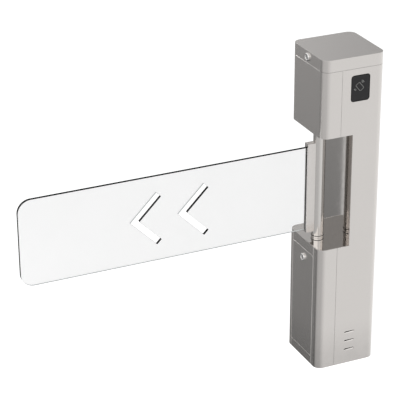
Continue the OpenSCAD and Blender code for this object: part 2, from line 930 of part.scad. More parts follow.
// Front half of the clamp, with its spine and the ends that close the slot
module clamp_front() {
    color([0.79, 0.78, 0.76])
        difference() {
            block([clamp_x0, pole_x], [-clamp_half, slot_half], [clamp_bottom, clamp_top]);
            block([clamp_x0 - overrun, spine_x], [-slot_half, slot_half + overrun],
                [panel_bottom - run_gap, panel_top + run_gap]);
            pole_room();
            for (i = [0:clamp_screws_n - 1])
                bar_y(clamp_screw_d / 2 + press_gap, clamp_screw_x,
                    [-clamp_half + overrun, 0], clamp_screw_z(i));
        }
}

// Rear half of the clamp, drilled and countersunk
module clamp_rear() {
    color([0.77, 0.76, 0.74])
        difference() {
            block([clamp_x0, pole_x], [slot_half, clamp_half], [clamp_bottom, clamp_top]);
            pole_room();
            for (i = [0:clamp_screws_n - 1]) {
                bar_y(clamp_screw_d / 2 + fit_gap, clamp_screw_x,
                    [slot_half - overrun, clamp_half + overrun], clamp_screw_z(i));
                countersink(clamp_head_d / 2 + fit_gap, i);
            }
        }
}
module countersink(r, i) {
    sink = (clamp_head_d - clamp_screw_d) / 2;
    translate([clamp_screw_x, clamp_half - sink, clamp_screw_z(i)])
        rotate([-90, 0, 0])
            cylinder(r1 = r - sink, r2 = r, h = sink);
}
module clamp_screws() {
    color([0.45, 0.45, 0.46])
        for (i = [0:clamp_screws_n - 1]) {
            bar_y(clamp_screw_d / 2, clamp_screw_x, [-slot_half - overrun, clamp_half - overrun],
                clamp_screw_z(i));
            countersink(clamp_head_d / 2, i);
        }
}

// Rubber strips between the clamp and the panel
module panel_liners() {
    color([0.10, 0.10, 0.10])
        for (y = [[-slot_half, -panel_t / 2], [panel_t / 2, slot_half]])
            difference() {
                block([clamp_x0, panel_end], y, [panel_bottom, panel_top]);
                for (i = [0:clamp_screws_n - 1])
                    bar_y(clamp_screw_d / 2 + 2 * run_gap, clamp_screw_x,
                        [y[0] - overrun, y[1] + overrun], clamp_screw_z(i));
            }
}

// Clear panel with round free corners and two chevrons cut through it
module swing_panel() {
    mid = (panel_bottom + panel_top) / 2;
    color([0.80, 0.85, 0.86, 0.5])
        rotate([90, 0, 0])
            linear_extrude(panel_t, center = true)
                difference() {
                    polygon(concat([[panel_end, panel_bottom], [panel_end, panel_top]],
                        corner_arc(panel_x0 + panel_r, panel_top - panel_r, panel_r, 90),
                        corner_arc(panel_x0 + panel_r, panel_bottom + panel_r, panel_r, 180)));
                    for (tip = [outer_chevron, inner_chevron])
                        translate([left_x - tip, mid])
                            chevron();
                    for (i = [0:clamp_screws_n - 1])
                        translate([clamp_screw_x, clamp_screw_z(i)])
                            circle(r = clamp_screw_d / 2 + 2 * run_gap);
                }
}

// Chevron that points to the left, with a slightly blunted tip
module chevron() {
    leg = chevron_stroke / sqrt(2);
    blunt = tip_r * (sqrt(2) - 1);
    polygon([[blunt, -blunt], [blunt / 2, 0], [blunt, blunt], [chevron_half, chevron_half],
        [chevron_half + leg, chevron_half - leg], [2 * leg, 0],
        [chevron_half + leg, leg - chevron_half], [chevron_half, -chevron_half]]);
}

// Angle between a tooth's middle and its flank at a radius, in degrees
function roll(r, base) = sqrt(max(r * r / (base * base) - 1, 0));
function involute(r, base) = roll(r, base) * 180 / PI - atan(roll(r, base));
function flank_angle(teeth, r) =
    let (pitch = gear_module * teeth / 2, base = pitch * cos(pressure_angle))
    90 / teeth - backlash / pitch * 90 / PI + involute(pitch, base) - involute(max(r, base), base);

// Outline of an involute gear with a tooth on the +X axis
function gear_outline(teeth) =
    let (root = gear_module * (teeth / 2 - 1.25), tip = gear_module * (teeth / 2 + 1),
        radii = [for (k = [0:4]) root + (tip - root) * k / 4])
    [for (i = [0:teeth - 1], k = [0:9])
        let (r = radii[k < 5 ? k : 9 - k], side = k < 5 ? -1 : 1,
            a = 360 * i / teeth + side * flank_angle(teeth, r))
        [r * cos(a), r * sin(a)]];

// Gear on the shaft, with its hub below
module shaft_gear() {
    color([0.90, 0.88, 0.80])
        difference() {
            union() {
                translate([pole_x, 0, gear_z])
                    linear_extrude(gear_w)
                        polygon(gear_outline(shaft_teeth));
                round_bar(coupling_d / 2, [gear_z - hub_h, gear_z]);
            }
            round_bar(shaft_d / 2 + press_gap, [gear_z - hub_h - overrun, gear_z + gear_w + overrun]);
        }
}

// Small gear and its spindle, in mesh with the gear on the shaft
module encoder_gear() {
    color([0.86, 0.84, 0.76]) {
        translate([encoder_x, 0, gear_z])
            rotate([0, 0, 180 / encoder_teeth + 180])
                linear_extrude(gear_w)
                    polygon(gear_outline(encoder_teeth));
        round_bar(spindle_d, [gear_z - hub_h, gear_z + overrun], encoder_x);
        round_bar(spindle_d / 2, [encoder_top - 2 * hub_h, gear_z], encoder_x);
    }
}

// Angle encoder that stands on the motor plate
module encoder() {
    color([0.15, 0.16, 0.18])
        difference() {
            union() {
                round_bar(encoder_d / 2, [motor_plate_top + 2 * sheet_t, encoder_top], encoder_x);
                round_bar(encoder_d / 2 - sheet_t, [motor_plate_top, encoder_top - overrun], encoder_x);
            }
            round_bar(spindle_d / 2 + press_gap,
                [encoder_top - 2 * hub_h - overrun, encoder_top + overrun], encoder_x);
        }
}

// Slotted disc on the shaft and the two fork sensors that read it
module sensor_disc() {
    color([0.20, 0.20, 0.21])
        difference() {
            union() {
                round_bar(disc_r, [disc_z, disc_z + disc_t]);
                round_bar(hub_d / 2, [disc_z - hub_h, disc_z + overrun]);
            }
            round_bar(shaft_d / 2 + press_gap, [disc_z - hub_h - overrun, disc_z + disc_t + overrun]);
            for (i = [0:disc_slots - 1])
                rotate_about_pole(90 * (i - 1))
                    block([-screw_d / 2, screw_d / 2], [disc_r - screw_d, disc_r + overrun],
                        [disc_z - overrun, disc_z + disc_t + overrun]);
        }
}
module rotate_about_pole(a) {
    translate([pole_x, 0, 0])
        rotate([0, 0, a])
            children();
}
module limit_sensors() {
    fork_in = disc_r - screw_d;
    fork_out = flange_r + side_gap;
    color([0.12, 0.12, 0.13])
        for (turn = [0, 180])
            rotate_about_pole(turn)
                difference() {
                    block([-post_r, post_r], [fork_in, fork_out + 2 * post_r],
                        [disc_z - fork_jaw - disc_t, plate_z]);
                    block([-post_r - overrun, post_r + overrun], [fork_in - overrun, fork_out],
                        [disc_z - disc_t, disc_z + 2 * disc_t]);
                    block([-post_r - overrun, post_r + overrun], [fork_in - overrun, fork_out],
                        [disc_z + 2 * disc_t + fork_jaw, plate_z + overrun]);
                }
}

// Coupling between the arm's shaft and the gearbox's
module shaft_coupling() {
    color([0.64, 0.65, 0.66])
        difference() {
            round_bar(coupling_d / 2, [coupling_z, coupling_top]);
            round_bar(shaft_d / 2 + press_gap, [shaft_end - run_gap, coupling_top + overrun]);
            round_bar(output_d / 2 + press_gap, [coupling_z - overrun, coupling_top]);
            for (z = [coupling_z + coupling_h / 3, coupling_top - coupling_h / 3])
                block([pole_x, pole_x + coupling_d], [-key_w / 2, key_w / 2],
                    [z - coupling_h / 6, z + coupling_h / 6]);
        }
}
module gearbox_shaft() {
    color([0.60, 0.60, 0.61])
        round_bar(output_d / 2, [gearbox_top - 2 * screw_grip, shaft_end - 2 * run_gap]);
}

// Tray on the right wall that carries the electrical equipment, with its pressed feet
module equipment_plate() {
    middle = (tray_z0 + tray_z1) / 2;
    color([0.62, 0.63, 0.64]) {
        block([tray_x, tray_x + tray_t], [-tray_half, tray_half], [tray_z0, tray_z1]);
        for (z = [tray_z0 + foot_inset, middle, tray_z1 - foot_inset], side = [-1, 1])
            bar_x(foot_r, [tray_x + tray_t - overrun, inner_right], side * (tray_half - foot_inset), z);
        for (z = [board_z + foot_r, board_z + board_size[2] - foot_r], side = [-1, 1])
            bar_x(foot_r / 2, [board_x + board_size[0], tray_x + overrun],
                side * (board_size[1] / 2 - foot_r), z);
    }
}

// Power supply with a terminal ledge at its lower end
module power_supply() {
    ledge = supply_size[2] / 9;
    half = supply_size[1] / 2;
    color([0.70, 0.71, 0.72])
        difference() {
            block([tray_x - supply_size[0], tray_x], [-half, half], [supply_z, supply_z + supply_size[2]]);
            block([tray_x - supply_size[0] - overrun, tray_x - supply_size[0] / 2],
                [-half + sheet_t, half - sheet_t], [supply_z - overrun, supply_z + ledge]);
        }
}

// Top-hat rail
module din_rail() {
    rim = rail_h / 7;
    gauge = rail_deep / 7.5;
    color([0.74, 0.75, 0.76])
        difference() {
            block([tray_x - rail_deep, tray_x], [-tray_half + rim, tray_half - rim], [rail_z, rail_z + rail_h]);
            block([tray_x - rail_deep - overrun, tray_x - gauge], [-tray_half, tray_half],
                [rail_z + rim + gauge, rail_z + rail_h - rim - gauge]);
            block([tray_x - rail_deep + gauge, tray_x + overrun], [-tray_half, tray_half],
                [rail_z - overrun, rail_z + rim]);
            block([tray_x - rail_deep + gauge, tray_x + overrun], [-tray_half, tray_half],
                [rail_z + rail_h - rim, rail_z + rail_h + overrun]);
        }
}

// Row of terminal blocks clipped on the rail
module terminal_blocks() {
    x1 = tray_x - rail_deep;
    mid = rail_z + rail_h / 2;
    start = -terminal_size[1] * terminal_count / 2;
    color([0.72, 0.73, 0.70])
        for (i = [0:terminal_count - 1]) {
            y = start + i * terminal_size[1];
            tall = terminal_size[2] / 2;
            block([x1 - terminal_size[0] / 2, x1], [y, y + terminal_size[1]], [mid - tall, mid + tall]);
            block([x1 - terminal_size[0], x1], [y + press_gap, y + terminal_size[1] - press_gap],
                [mid - tall / 2, mid + tall / 2]);
        }
}

// Controller and what is soldered on it
module control_board() {
    color([0.05, 0.30, 0.16])
        block([board_x, board_x + board_size[0]], [-board_size[1] / 2, board_size[1] / 2],
            [board_z, board_z + board_size[2]]);
}

// Relays, capacitors, a processor and the plug rows on the board
module board_components() {
    half = board_size[1] / 2;
    color([0.12, 0.13, 0.14]) {
        for (share = relay_shares)
            on_board(relay_size, half * share, relay_row_share);
        for (share = capacitor_row_shares)
            bar_x(capacitor_r, [board_x - capacitor_h, board_x], -half * capacitor_share,
                board_z + board_size[2] * share);
        on_board(chip_size, 0, chip_row_share);
        for (side = [-1, 1])
            on_board(plug_size, side * half * plug_share - plug_size[1] / 2, plug_row_share);
    }
}
module on_board(size, y, row) {
    z = board_z + board_size[2] * row;
    block([board_x - size[0], board_x], [y, y + size[1]], [z, z + size[2]]);
}

// Cut-out or plate in the reader's outline
module reader_cut(grow, y) {
    translate([reader_x, y[1], reader_z])
        rotate([90, 0, 0])
            linear_extrude(y[1] - y[0])
                polygon(rounded_outline(reader_w + 2 * grow, reader_h + 2 * grow, reader_r + grow));
}

// Window flush with the front, with a rim behind the sheet
module reader_window() {
    color([0.12, 0.12, 0.12]) {
        reader_cut(0, [front_y, inner_front + window_back]);
        reader_cut(window_lap, [inner_front, inner_front + window_back]);
    }
}

// Box behind the window, with four posts for the board
module reader_housing() {
    rim = window_lap + 2 * fit_gap;
    back = inner_front + reader_deep;
    color([0.10, 0.10, 0.11]) {
        difference() {
            reader_cut(rim + reader_wall, [inner_front, back]);
            reader_cut(rim, [inner_front - overrun, back - reader_wall]);
        }
        for (sx = [-1, 1], sz = [-1, 1])
            bar_y(reader_wall, reader_x + sx * (reader_w / 2 - reader_r),
                [back - reader_wall - reader_post_h, back - overrun],
                reader_z + sz * (reader_h / 2 - reader_r));
    }
}
module reader_board() {
    y1 = inner_front + reader_deep - reader_wall - reader_post_h;
    color([0.05, 0.26, 0.30])
        reader_cut(-side_gap, [y1 - reader_board_t, y1]);
}

base_plate();
column_shell();
lower_front_corner();
lower_rear_corner();
door_frame();
door_gasket();
upper_shell();
seam_strips();
lid_seat_frame();
notch_wall();
notch_floor();
notch_ceiling();
lower_collar();
upper_collar();
drive_plate();
support_angles();
upper_plate();
lower_bearing_housing();
upper_bearing_housing();
lower_bearing();
upper_bearing();
drive_screws();
drive_standoffs();
motor_plate();
gearbox();
motor();
motor_brake();
encoder();
limit_sensors();
equipment_plate();
power_supply();
din_rail();
terminal_blocks();
control_board();
board_components();
reader_window();
reader_housing();
reader_board();
pole_tube();
pole_plugs();
lower_shaft();
upper_shaft();
clamp_front();
clamp_rear();
clamp_screws();
panel_liners();
swing_panel();
shaft_gear();
shaft_coupling();
gearbox_shaft();
sensor_disc();
encoder_gear();
access_door();
door_lock_body();
door_lock_core();
door_lock_cam();
lid();
lid_lock_body();
lid_lock_core();
lid_lock_cam();
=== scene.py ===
import math

import bmesh
import bpy
from mathutils import Matrix, Vector


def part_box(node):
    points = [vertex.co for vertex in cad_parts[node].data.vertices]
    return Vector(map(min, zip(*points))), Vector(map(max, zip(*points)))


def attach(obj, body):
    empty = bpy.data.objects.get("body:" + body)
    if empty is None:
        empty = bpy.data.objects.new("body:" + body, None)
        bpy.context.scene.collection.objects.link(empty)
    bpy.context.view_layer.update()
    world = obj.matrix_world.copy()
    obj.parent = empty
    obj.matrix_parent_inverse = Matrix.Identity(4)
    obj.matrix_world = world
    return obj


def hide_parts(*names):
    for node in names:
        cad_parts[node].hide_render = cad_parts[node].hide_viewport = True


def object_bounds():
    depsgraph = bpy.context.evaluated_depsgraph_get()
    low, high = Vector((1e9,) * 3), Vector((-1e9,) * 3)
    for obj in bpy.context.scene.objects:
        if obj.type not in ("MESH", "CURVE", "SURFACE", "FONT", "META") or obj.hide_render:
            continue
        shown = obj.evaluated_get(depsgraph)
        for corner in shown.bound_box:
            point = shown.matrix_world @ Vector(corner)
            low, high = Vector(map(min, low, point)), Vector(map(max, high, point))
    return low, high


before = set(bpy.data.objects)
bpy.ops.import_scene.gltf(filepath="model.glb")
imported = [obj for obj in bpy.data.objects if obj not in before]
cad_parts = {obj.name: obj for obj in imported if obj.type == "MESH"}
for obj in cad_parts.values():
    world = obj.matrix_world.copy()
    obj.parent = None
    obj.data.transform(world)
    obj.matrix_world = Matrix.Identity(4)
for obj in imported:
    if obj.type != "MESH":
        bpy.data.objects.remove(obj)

cad_low, cad_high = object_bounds()

# Sizes of the post in metres, read from the frame where another piece sets them
MM = 0.001
LEFT, FRONT, RIGHT, REAR = -0.1, -0.1, 0.1, 0.1
TOP = cad_high.z
SEAM = 0.6 * MM
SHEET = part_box("notch_floor")[1].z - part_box("notch_floor")[0].z
NOTCH_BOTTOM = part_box("notch_floor")[1].z
NOTCH_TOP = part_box("notch_ceiling")[0].z
WALL_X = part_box("notch_wall")[0].x
BODY_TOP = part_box("upper_shell")[1].z
LID_Z = BODY_TOP + SEAM
SEAM_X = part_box("column_shell")[0].x - SEAM / 2
CORNER_R = 24 * MM
CORNER_STEPS = 20

# Edges: how far each kind is broken, and the chamfers and the hem of the left sheets
SOFT = 0.3 * MM
SOFT_COLUMN = 0.5 * MM
SOFT_FINE = 0.15 * MM
SOFT_SMALL = 0.12 * MM
LID_RIM = 0.4 * MM
SIDE_CHAMFER = 1.6 * MM
TOP_CHAMFER = 0.8 * MM
HEM = 4 * MM
HEM_CHAMFER = (0.95 * MM, 1.22 * MM)
SILL = 4 * MM

# Distances that count as nothing: between two points of a copied solid, of a cut piece, and from a face
SAME_POINT = 0.005 * MM
SAME_CUT = 0.01 * MM
IN_FACE = 0.02 * MM
ON_FACE = 0.05 * MM

# Pole, its rings and the wear rings in their gaps
POLE_X = (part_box("pole_tube")[0].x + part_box("pole_tube")[1].x) / 2
POLE_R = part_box("pole_tube")[1].y
POLE_SIDES = 96
POLE_BORE_R = 16 * MM
RING_BORE_R = 10.6 * MM
WEAR_RING_PROUD = 0.5 * MM
WEAR_RING_GAP = 0.1 * MM

# Door and its two hooks
DOOR_LOW, DOOR_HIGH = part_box("access_door")
DOOR_BOTTOM = 28.3 * MM
HOOK_W = 20 * MM
HOOK_T = 2.2 * MM
HOOK_DROP = 14 * MM
HOOK_GAP = 0.3 * MM
DOOR_HOOKS = ((DOOR_LOW.y + DOOR_HIGH.y) / 2 - 36.4 * MM, (DOOR_LOW.y + DOOR_HIGH.y) / 2 + 36.4 * MM)
LID_HOOKS = (-41.8 * MM, 41.8 * MM)

# Locks: the head and its recessed face, the barrel and nut behind it, and the plug with its key slot
LOCK_LOW, LOCK_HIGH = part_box("door_lock_body")
LOCK_R = 11.75 * MM
LOCK_RISE = 5.3 * MM
LOCK_ROUND = 2.3 * MM
LOCK_RING = 3.7 * MM
LOCK_INNER = 1.2 * MM
LOCK_DEPTH = 1.9 * MM
LOCK_HOLE_R = 9.1 * MM
BARREL_R = 9 * MM
NUT_R = 12 * MM
NUT_CHAMFER = 0.4 * MM
CORE_BORE_R = 6.05 * MM
PLUG_R = 6 * MM
PLUG_PROUD = 0.2 * MM
PLUG_SOFT = 0.25 * MM
STUB_R = 4 * MM
STUB_LAP = 2 * MM
KEY_HALF = (0.8 * MM, 4 * MM)
KEY_BACK = 3 * MM
DOOR_LOCK_Z = (LOCK_LOW.z + LOCK_HIGH.z) / 2
LID_LOCK_Z = (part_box("lid_lock_body")[0].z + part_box("lid_lock_body")[1].z) / 2

# Reader with its rim and glass, and the vents with the tongues that are pressed in at their upper edge
READER = Vector((19.5 * MM, FRONT, 903 * MM))
READER_SIZE = (61 * MM, 80.5 * MM)
READER_R = 9 * MM
READER_GAP = 0.3 * MM
RIM_BACK = 3.5 * MM
RIM_FLANGE = 4 * MM
RIM_WIDTH = 2 * MM
RIM_STEP = 0.9 * MM
GLASS_INSET = 2.15 * MM
GLASS_SOFT = 0.35 * MM
GLASS = (FRONT + 0.15 * MM, FRONT + 1.4 * MM)
VENT_X = 11 * MM
VENT_SIZE = (34 * MM, 6.5 * MM)
VENT_ROWS = (47 * MM, 76.8 * MM, 106.6 * MM)
VENT_ROUND = 0.999
VENT_GAP = 2.7 * MM
TONGUE_LAP = 0.2 * MM
TONGUE_BACK = 0.15 * MM
TONGUE_THICK = 0.9 * MM
TONGUE_R = 3.1 * MM
TONGUE_LEAN = 27
TONGUE_TWIST = 2.8

# The reader's printed sign: how far it stands out, its stroke, the tilted card, and two sets of waves,
# each with its centre, the angle that it opens towards and its radii in millimetres
PRINT = (FRONT + 0.05 * MM, FRONT + 0.2 * MM)
STROKE = 1.1 * MM
CARD = READER + Vector((-2.4 * MM, 0, 4.2 * MM))
CARD_SIZE = (25 * MM, 16 * MM)
CARD_R = 2.6 * MM
CARD_TURN = 50
WAVES_HIGH = (READER + Vector((2.5 * MM, 0, 13.5 * MM)), 52, (4.0, 6.8, 9.6))
WAVES_LOW = (READER + Vector((-14 * MM, 0, 1 * MM)), 232, (4.0, 6.8))
WAVE_HALF_ANGLE = 36

# Clamp with its screws and the sinks that their heads lie in, and panel
CLAMP_LOW, CLAMP_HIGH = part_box("clamp_front")
CLAMP_GAP = 0.3 * MM
POLE_FIT = 0.1 * MM
CLAMP_SOFT = 0.7 * MM
CLAMP_BACK_SOFT = 0.35 * MM
SCREW_X = CLAMP_LOW.x + 8 * MM
SCREW_MARGIN = 24 * MM
SCREW_COUNT = 4
SINK_R, SINK_FOOT_R, SINK_DEEP = 5.6 * MM, 3.1 * MM, 2.6 * MM
SCREW_R, SHANK_R, HEAD_DEEP = 5.4 * MM, 3 * MM, 2.5 * MM
HEAD_SUNK = 0.1 * MM
SHANK_TOP, SHANK_END = 2 * MM, 17 * MM
SOCKET_R, SOCKET_DEEP = 2.2 * MM, 1.9 * MM
PANEL_LOW, PANEL_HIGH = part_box("swing_panel")
PANEL_MID = (PANEL_LOW.z + PANEL_HIGH.z) / 2
PANEL_R = 40 * MM
CHEVRON_TIPS = (-661.5 * MM, -513 * MM)
CHEVRON_HALF = 82 * MM
CHEVRON_STROKE = 20 * MM
CHEVRON_R = 1.6 * MM
PANEL_SOFT = 0.5 * MM

# The camera: where it stands, how far it turns from +Y and looks down, and its lens
CAMERA_PLACE = (-2.29469, -4.13371, 2.70489)
CAMERA_TURN, CAMERA_DOWN, CAMERA_ROLL = 24.1475, 24.9553, -0.3253
CAMERA_LENS = 155.74
CAMERA_SENSOR = 36

# The lamp: its place, what it looks at, its side and its power
LAMP_PLACE = (-2.2, -2.4, 2.6)
LAMP_TARGET = (0, 0, 0.5)
LAMP_SIZE = 2.2
LAMP_POWER = 66

# The floor: its side, its drop below the post, its grey, and its glow for the camera and in the panel
FLOOR_SIZE = 40
FLOOR_DROP = 0.2 * MM
FLOOR_GREY = (0.75, 0.75, 0.75, 1)
FLOOR_GLOW, FLOOR_GLOW_IN_GLASS = 0.66, 0.45

# The studio that polished steel mirrors: the brightness of its lower and upper ring by compass angle in
# degrees from +X, and of its ceiling. Matt surfaces see an even fill instead.
RING_SCALE = 2.4
LOWER_RING = ((-180, 0.63), (-140, 0.68), (-125, 0.66), (-110, 0.78), (-82, 0.93), (-66, 1.0),
    (-30, 1.08), (0, 1.15), (60, 1.1), (76, 1.0), (94, 0.40), (104, 0.30), (114, 0.29), (128, 0.265),
    (156, 0.265), (168, 0.56), (174, 0.63))
UPPER_RING = ((-180, 1.1), (-125, 1.1), (-100, 1.15), (-85, 1.3), (-57, 1.5), (-35, 1.1), (0, 1.0),
    (30, 0.85), (48, 0.40), (56, 0.37), (61.3, 0.55), (67, 0.82), (80, 0.80), (95, 0.6), (114, 0.45),
    (150, 0.5), (158, 0.6), (166, 1.1))
CEILING = 1.15
FILL = 0.55

# Heights between which the lower ring passes into the upper one, and that into the ceiling
RING_CHANGE = (-0.2, 0.3)
CEILING_CHANGE = (0.5, 0.85)

# Below this height the dark sides of the lower ring grow darker by this much, down to a least level
DIM_BELOW = 0.42
DIM_RATE = 1.4
DIM_LEAST = 0.08

# A narrow light strip low behind the post, between two compass angles
STRIP_TURNS = (119.295, 120.6)
STRIP_LEVEL = 0.68

# Bright patches by compass angles, heights and level: one lights the upper edges of the left sheets, the
# other the pole's foot by way of the notch floor
PATCHES = (((106, 120.2), (0.05, 0.39), 3.1), ((-180, -105), (0.36, 0.50), 2.2))


def place_camera():
    """A long lens in front of the post and to its left, looking slightly down."""
    turn, down, roll = (math.radians(a) for a in (CAMERA_TURN, CAMERA_DOWN, CAMERA_ROLL))
    forward = Vector((math.sin(turn) * math.cos(down), math.cos(turn) * math.cos(down), -math.sin(down)))
    level = Vector((math.cos(turn), -math.sin(turn), 0))
    right = level * math.cos(roll) + level.cross(forward) * math.sin(roll)
    up = right.cross(forward)
    bpy.ops.object.camera_add()
    camera = bpy.context.active_object
    camera.name = "camera"
    camera.data.lens = CAMERA_LENS
    camera.data.sensor_width = CAMERA_SENSOR
    camera.matrix_world = Matrix((right, up, -forward)).transposed().to_4x4()
    camera.location = CAMERA_PLACE
    bpy.context.scene.camera = camera


# Selecting and shaping, as by hand

def clear():
    """Leaves edit mode with nothing selected."""
    if bpy.context.active_object and bpy.context.active_object.mode != "OBJECT":
        bpy.ops.object.mode_set(mode="OBJECT")
    bpy.ops.object.select_all(action="DESELECT")


def take(piece):
    """Makes one piece the only one selected."""
    clear()
    piece.select_set(True)
    bpy.context.view_layer.objects.active = piece
    return piece


def edit(piece):
    """Opens one piece in edit mode with all of it selected."""
    take(piece)
    bpy.ops.object.mode_set(mode="EDIT")
    bpy.ops.mesh.select_all(action="SELECT")


def choose(piece, kind, test):
    """Selects the faces or edges of the piece in edit mode that pass a test."""
    bpy.ops.mesh.select_mode(type=kind)
    bpy.ops.mesh.select_all(action="DESELECT")
    shape = bmesh.from_edit_mesh(piece.data)
    for part in shape.faces if kind == "FACE" else shape.edges:
        if test(part):
            part.select_set(True)
    bmesh.update_edit_mesh(piece.data)


def middle(part):
    """The middle of a face or an edge."""
    return sum((v.co for v in part.verts), Vector()) / len(part.verts)


def runs_along(edge, axis):
    """True where an edge lies along an axis, 0 to 2."""
    way = (edge.verts[1].co - edge.verts[0].co).normalized()
    return abs(way[axis]) > 0.999


def facing(direction, least=0.9):
    """A test for faces that look in a direction."""
    return lambda face: face.normal.dot(Vector(direction)) > least


def pull(x, y):
    """Extrudes the faces selected in edit mode along X and Y."""
    bpy.ops.mesh.extrude_region_move(TRANSFORM_OT_translate={"value": (x, y, 0)})


def turn_by(angle, axis, centre):
    """Turns what is selected in edit mode. With no window, the operator turns the other way."""
    bpy.ops.transform.rotate(value=angle, orient_axis=axis, orient_type="GLOBAL", center_override=centre)


def settle(piece, name):
    """Names a piece and moves its place into its mesh."""
    piece.name = piece.data.name = name
    take(piece)
    bpy.ops.object.transform_apply(location=True, rotation=True, scale=True)
    return piece


def block(name, low, high):
    """A block between two corners."""
    clear()
    low, high = Vector(low), Vector(high)
    bpy.ops.mesh.primitive_cube_add(size=1, location=(low + high) / 2)
    piece = bpy.context.active_object
    piece.scale = high - low
    return settle(piece, name)


def rod(name, radius, start, end, sides=64, tip=None):
    """A round bar between two points, tapered where a second radius is given."""
    clear()
    start, end = Vector(start), Vector(end)
    bpy.ops.mesh.primitive_cone_add(vertices=sides, radius1=radius, depth=(end - start).length,
        radius2=radius if tip is None else tip, location=(start + end) / 2)
    piece = bpy.context.active_object
    piece.rotation_mode = "QUATERNION"
    piece.rotation_quaternion = (end - start).to_track_quat("Z", "Y")
    return settle(piece, name)


def rounded_block(name, low, high, axis, radius, steps=8):
    """A block whose four edges along an axis are round."""
    piece = block(name, low, high)
    edit(piece)
    choose(piece, "EDGE", lambda edge: runs_along(edge, axis))
    bpy.ops.mesh.bevel(offset=radius, segments=steps, affect="EDGES")
    return take(piece)


def use(piece, kind, **settings):
    """Adds a modifier with its settings and applies it."""
    take(piece)
    modifier = piece.modifiers.new(kind.lower(), kind)
    for key, value in settings.items():
        setattr(modifier, key, value)
    bpy.ops.object.modifier_apply(modifier=modifier.name)


def combine(piece, other, operation):
    """Cuts another solid out of a piece, or adds it, and removes the other."""
    use(piece, "BOOLEAN", object=other, operation=operation, solver="EXACT")
    bpy.data.objects.remove(other)


def carve(piece, *tools):
    """Cuts each tool out of a piece."""
    for tool in tools:
        combine(piece, tool, "DIFFERENCE")


def weld(piece, *others):
    """Adds each other solid to a piece."""
    for other in others:
        combine(piece, other, "UNION")


def even_out(distance):
    """Merges the doubled points of the piece in edit mode and the flat parts of its faces."""
    bpy.ops.mesh.remove_doubles(threshold=distance)
    bpy.ops.mesh.dissolve_limited(angle_limit=math.radians(0.3))


def smooth(piece, angle=35):
    """Smooths round faces, and keeps the flat ones flat up to their softened edges."""
    take(piece)
    bpy.ops.object.shade_smooth_by_angle(angle=math.radians(angle))
    use(piece, "WEIGHTED_NORMAL", mode="FACE_AREA", weight=100, keep_sharp=True)


def ease(piece, width, steps=2, angle=35):
    """Breaks the sharp edges of a finished piece and smooths its round faces."""
    edit(piece)
    even_out(SAME_CUT)
    take(piece)
    use(piece, "BEVEL", width=width, segments=steps, limit_method="ANGLE",
        angle_limit=math.radians(angle), use_clamp_overlap=True, miter_outer="MITER_ARC")
    smooth(piece, angle)
    return piece


def chamfer_edges(piece, width, test):
    """Chamfers a sheet's outer edges, chosen by a test."""
    edit(piece)
    even_out(SAME_POINT)
    choose(piece, "EDGE", lambda edge: len(edge.link_faces) == 2
        and edge.calc_face_angle(0) > math.radians(60) and test(edge))
    bpy.ops.mesh.bevel(offset=width, segments=1, affect="EDGES")
    return take(piece)


def on_left_face(edge):
    """True for an edge in the post's left face, off the ground and under the notch's sill."""
    in_face = all(v.co.x < LEFT + IN_FACE for v in edge.verts)
    return in_face and MM < middle(edge).z < NOTCH_BOTTOM - SILL


def chamfer_seams(piece):
    """Chamfers a sheet's edges in the left face: more along its sides, finely across it."""
    chamfer_edges(piece, SIDE_CHAMFER, lambda edge: on_left_face(edge) and runs_along(edge, 2))
    return chamfer_edges(piece, TOP_CHAMFER, lambda edge: on_left_face(edge) and runs_along(edge, 1))


def copy_of(node, name):
    """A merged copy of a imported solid's mesh."""
    piece = bpy.data.objects.new(name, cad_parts[node].data.copy())
    piece.data.name = name
    piece.data.materials.clear()
    bpy.context.scene.collection.objects.link(piece)
    edit(piece)
    bpy.ops.mesh.remove_doubles(threshold=SAME_POINT)
    return take(piece)


def dress(piece, material, body, *nodes, slot=None):
    """Gives a finished piece its material, the body it rides on and the nodes it stands for."""
    piece.data.materials.clear()
    piece.data.materials.append(material)
    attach(piece, body)
    if nodes:
        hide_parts(*nodes)
    return piece


# Node groups that several materials share

def effect(name, inputs, outputs):
    """An empty node group with named sockets. Returns its tree, input node and output node."""
    group = bpy.data.node_groups.new(name, "ShaderNodeTree")
    for label, kind, value in inputs:
        socket = group.interface.new_socket(label, in_out="INPUT", socket_type="NodeSocket" + kind)
        socket.default_value = value
    for label in outputs:
        group.interface.new_socket(label, in_out="OUTPUT", socket_type="NodeSocketFloat")
    return group, group.nodes.new("NodeGroupInput"), group.nodes.new("NodeGroupOutput")


def feed(tree, socket, value):
    """Gives a socket a number, or a link from another socket."""
    if isinstance(value, (int, float)):
        socket.default_value = value
    else:
        tree.links.new(value, socket)


def sum_node(tree, operation, first, second, clamp=False):
    """A maths node whose two inputs are sockets or numbers."""
    node = tree.nodes.new("ShaderNodeMath")
    node.operation = operation
    node.use_clamp = clamp
    for socket, value in zip(node.inputs, (first, second)):
        feed(tree, socket, value)
    return node.outputs[0]


def ramp_node(tree, value, start, end, low=0.0, high=1.0):
    """Turns a value between two limits into a smooth step from low to high."""
    node = tree.nodes.new("ShaderNodeMapRange")
    node.interpolation_type = "SMOOTHSTEP"
    for label, number in (("From Min", start), ("From Max", end), ("To Min", low), ("To Max", high)):
        node.inputs[label].default_value = number
    tree.links.new(value, node.inputs["Value"])
    return node.outputs["Result"]


def noise_node(tree, vector, scale, detail=2.0, roughness=0.5):
    """A noise pattern. Its scale may be a socket."""
    node = tree.nodes.new("ShaderNodeTexNoise")
    node.inputs["Detail"].default_value = detail
    node.inputs["Roughness"].default_value = roughness
    tree.links.new(vector, node.inputs["Vector"])
    feed(tree, node.inputs["Scale"], scale)
    return node.outputs["Fac"]


def place_node(tree):
    """The place on the piece, in metres."""
    return tree.nodes.new("ShaderNodeTexCoord").outputs["Object"]


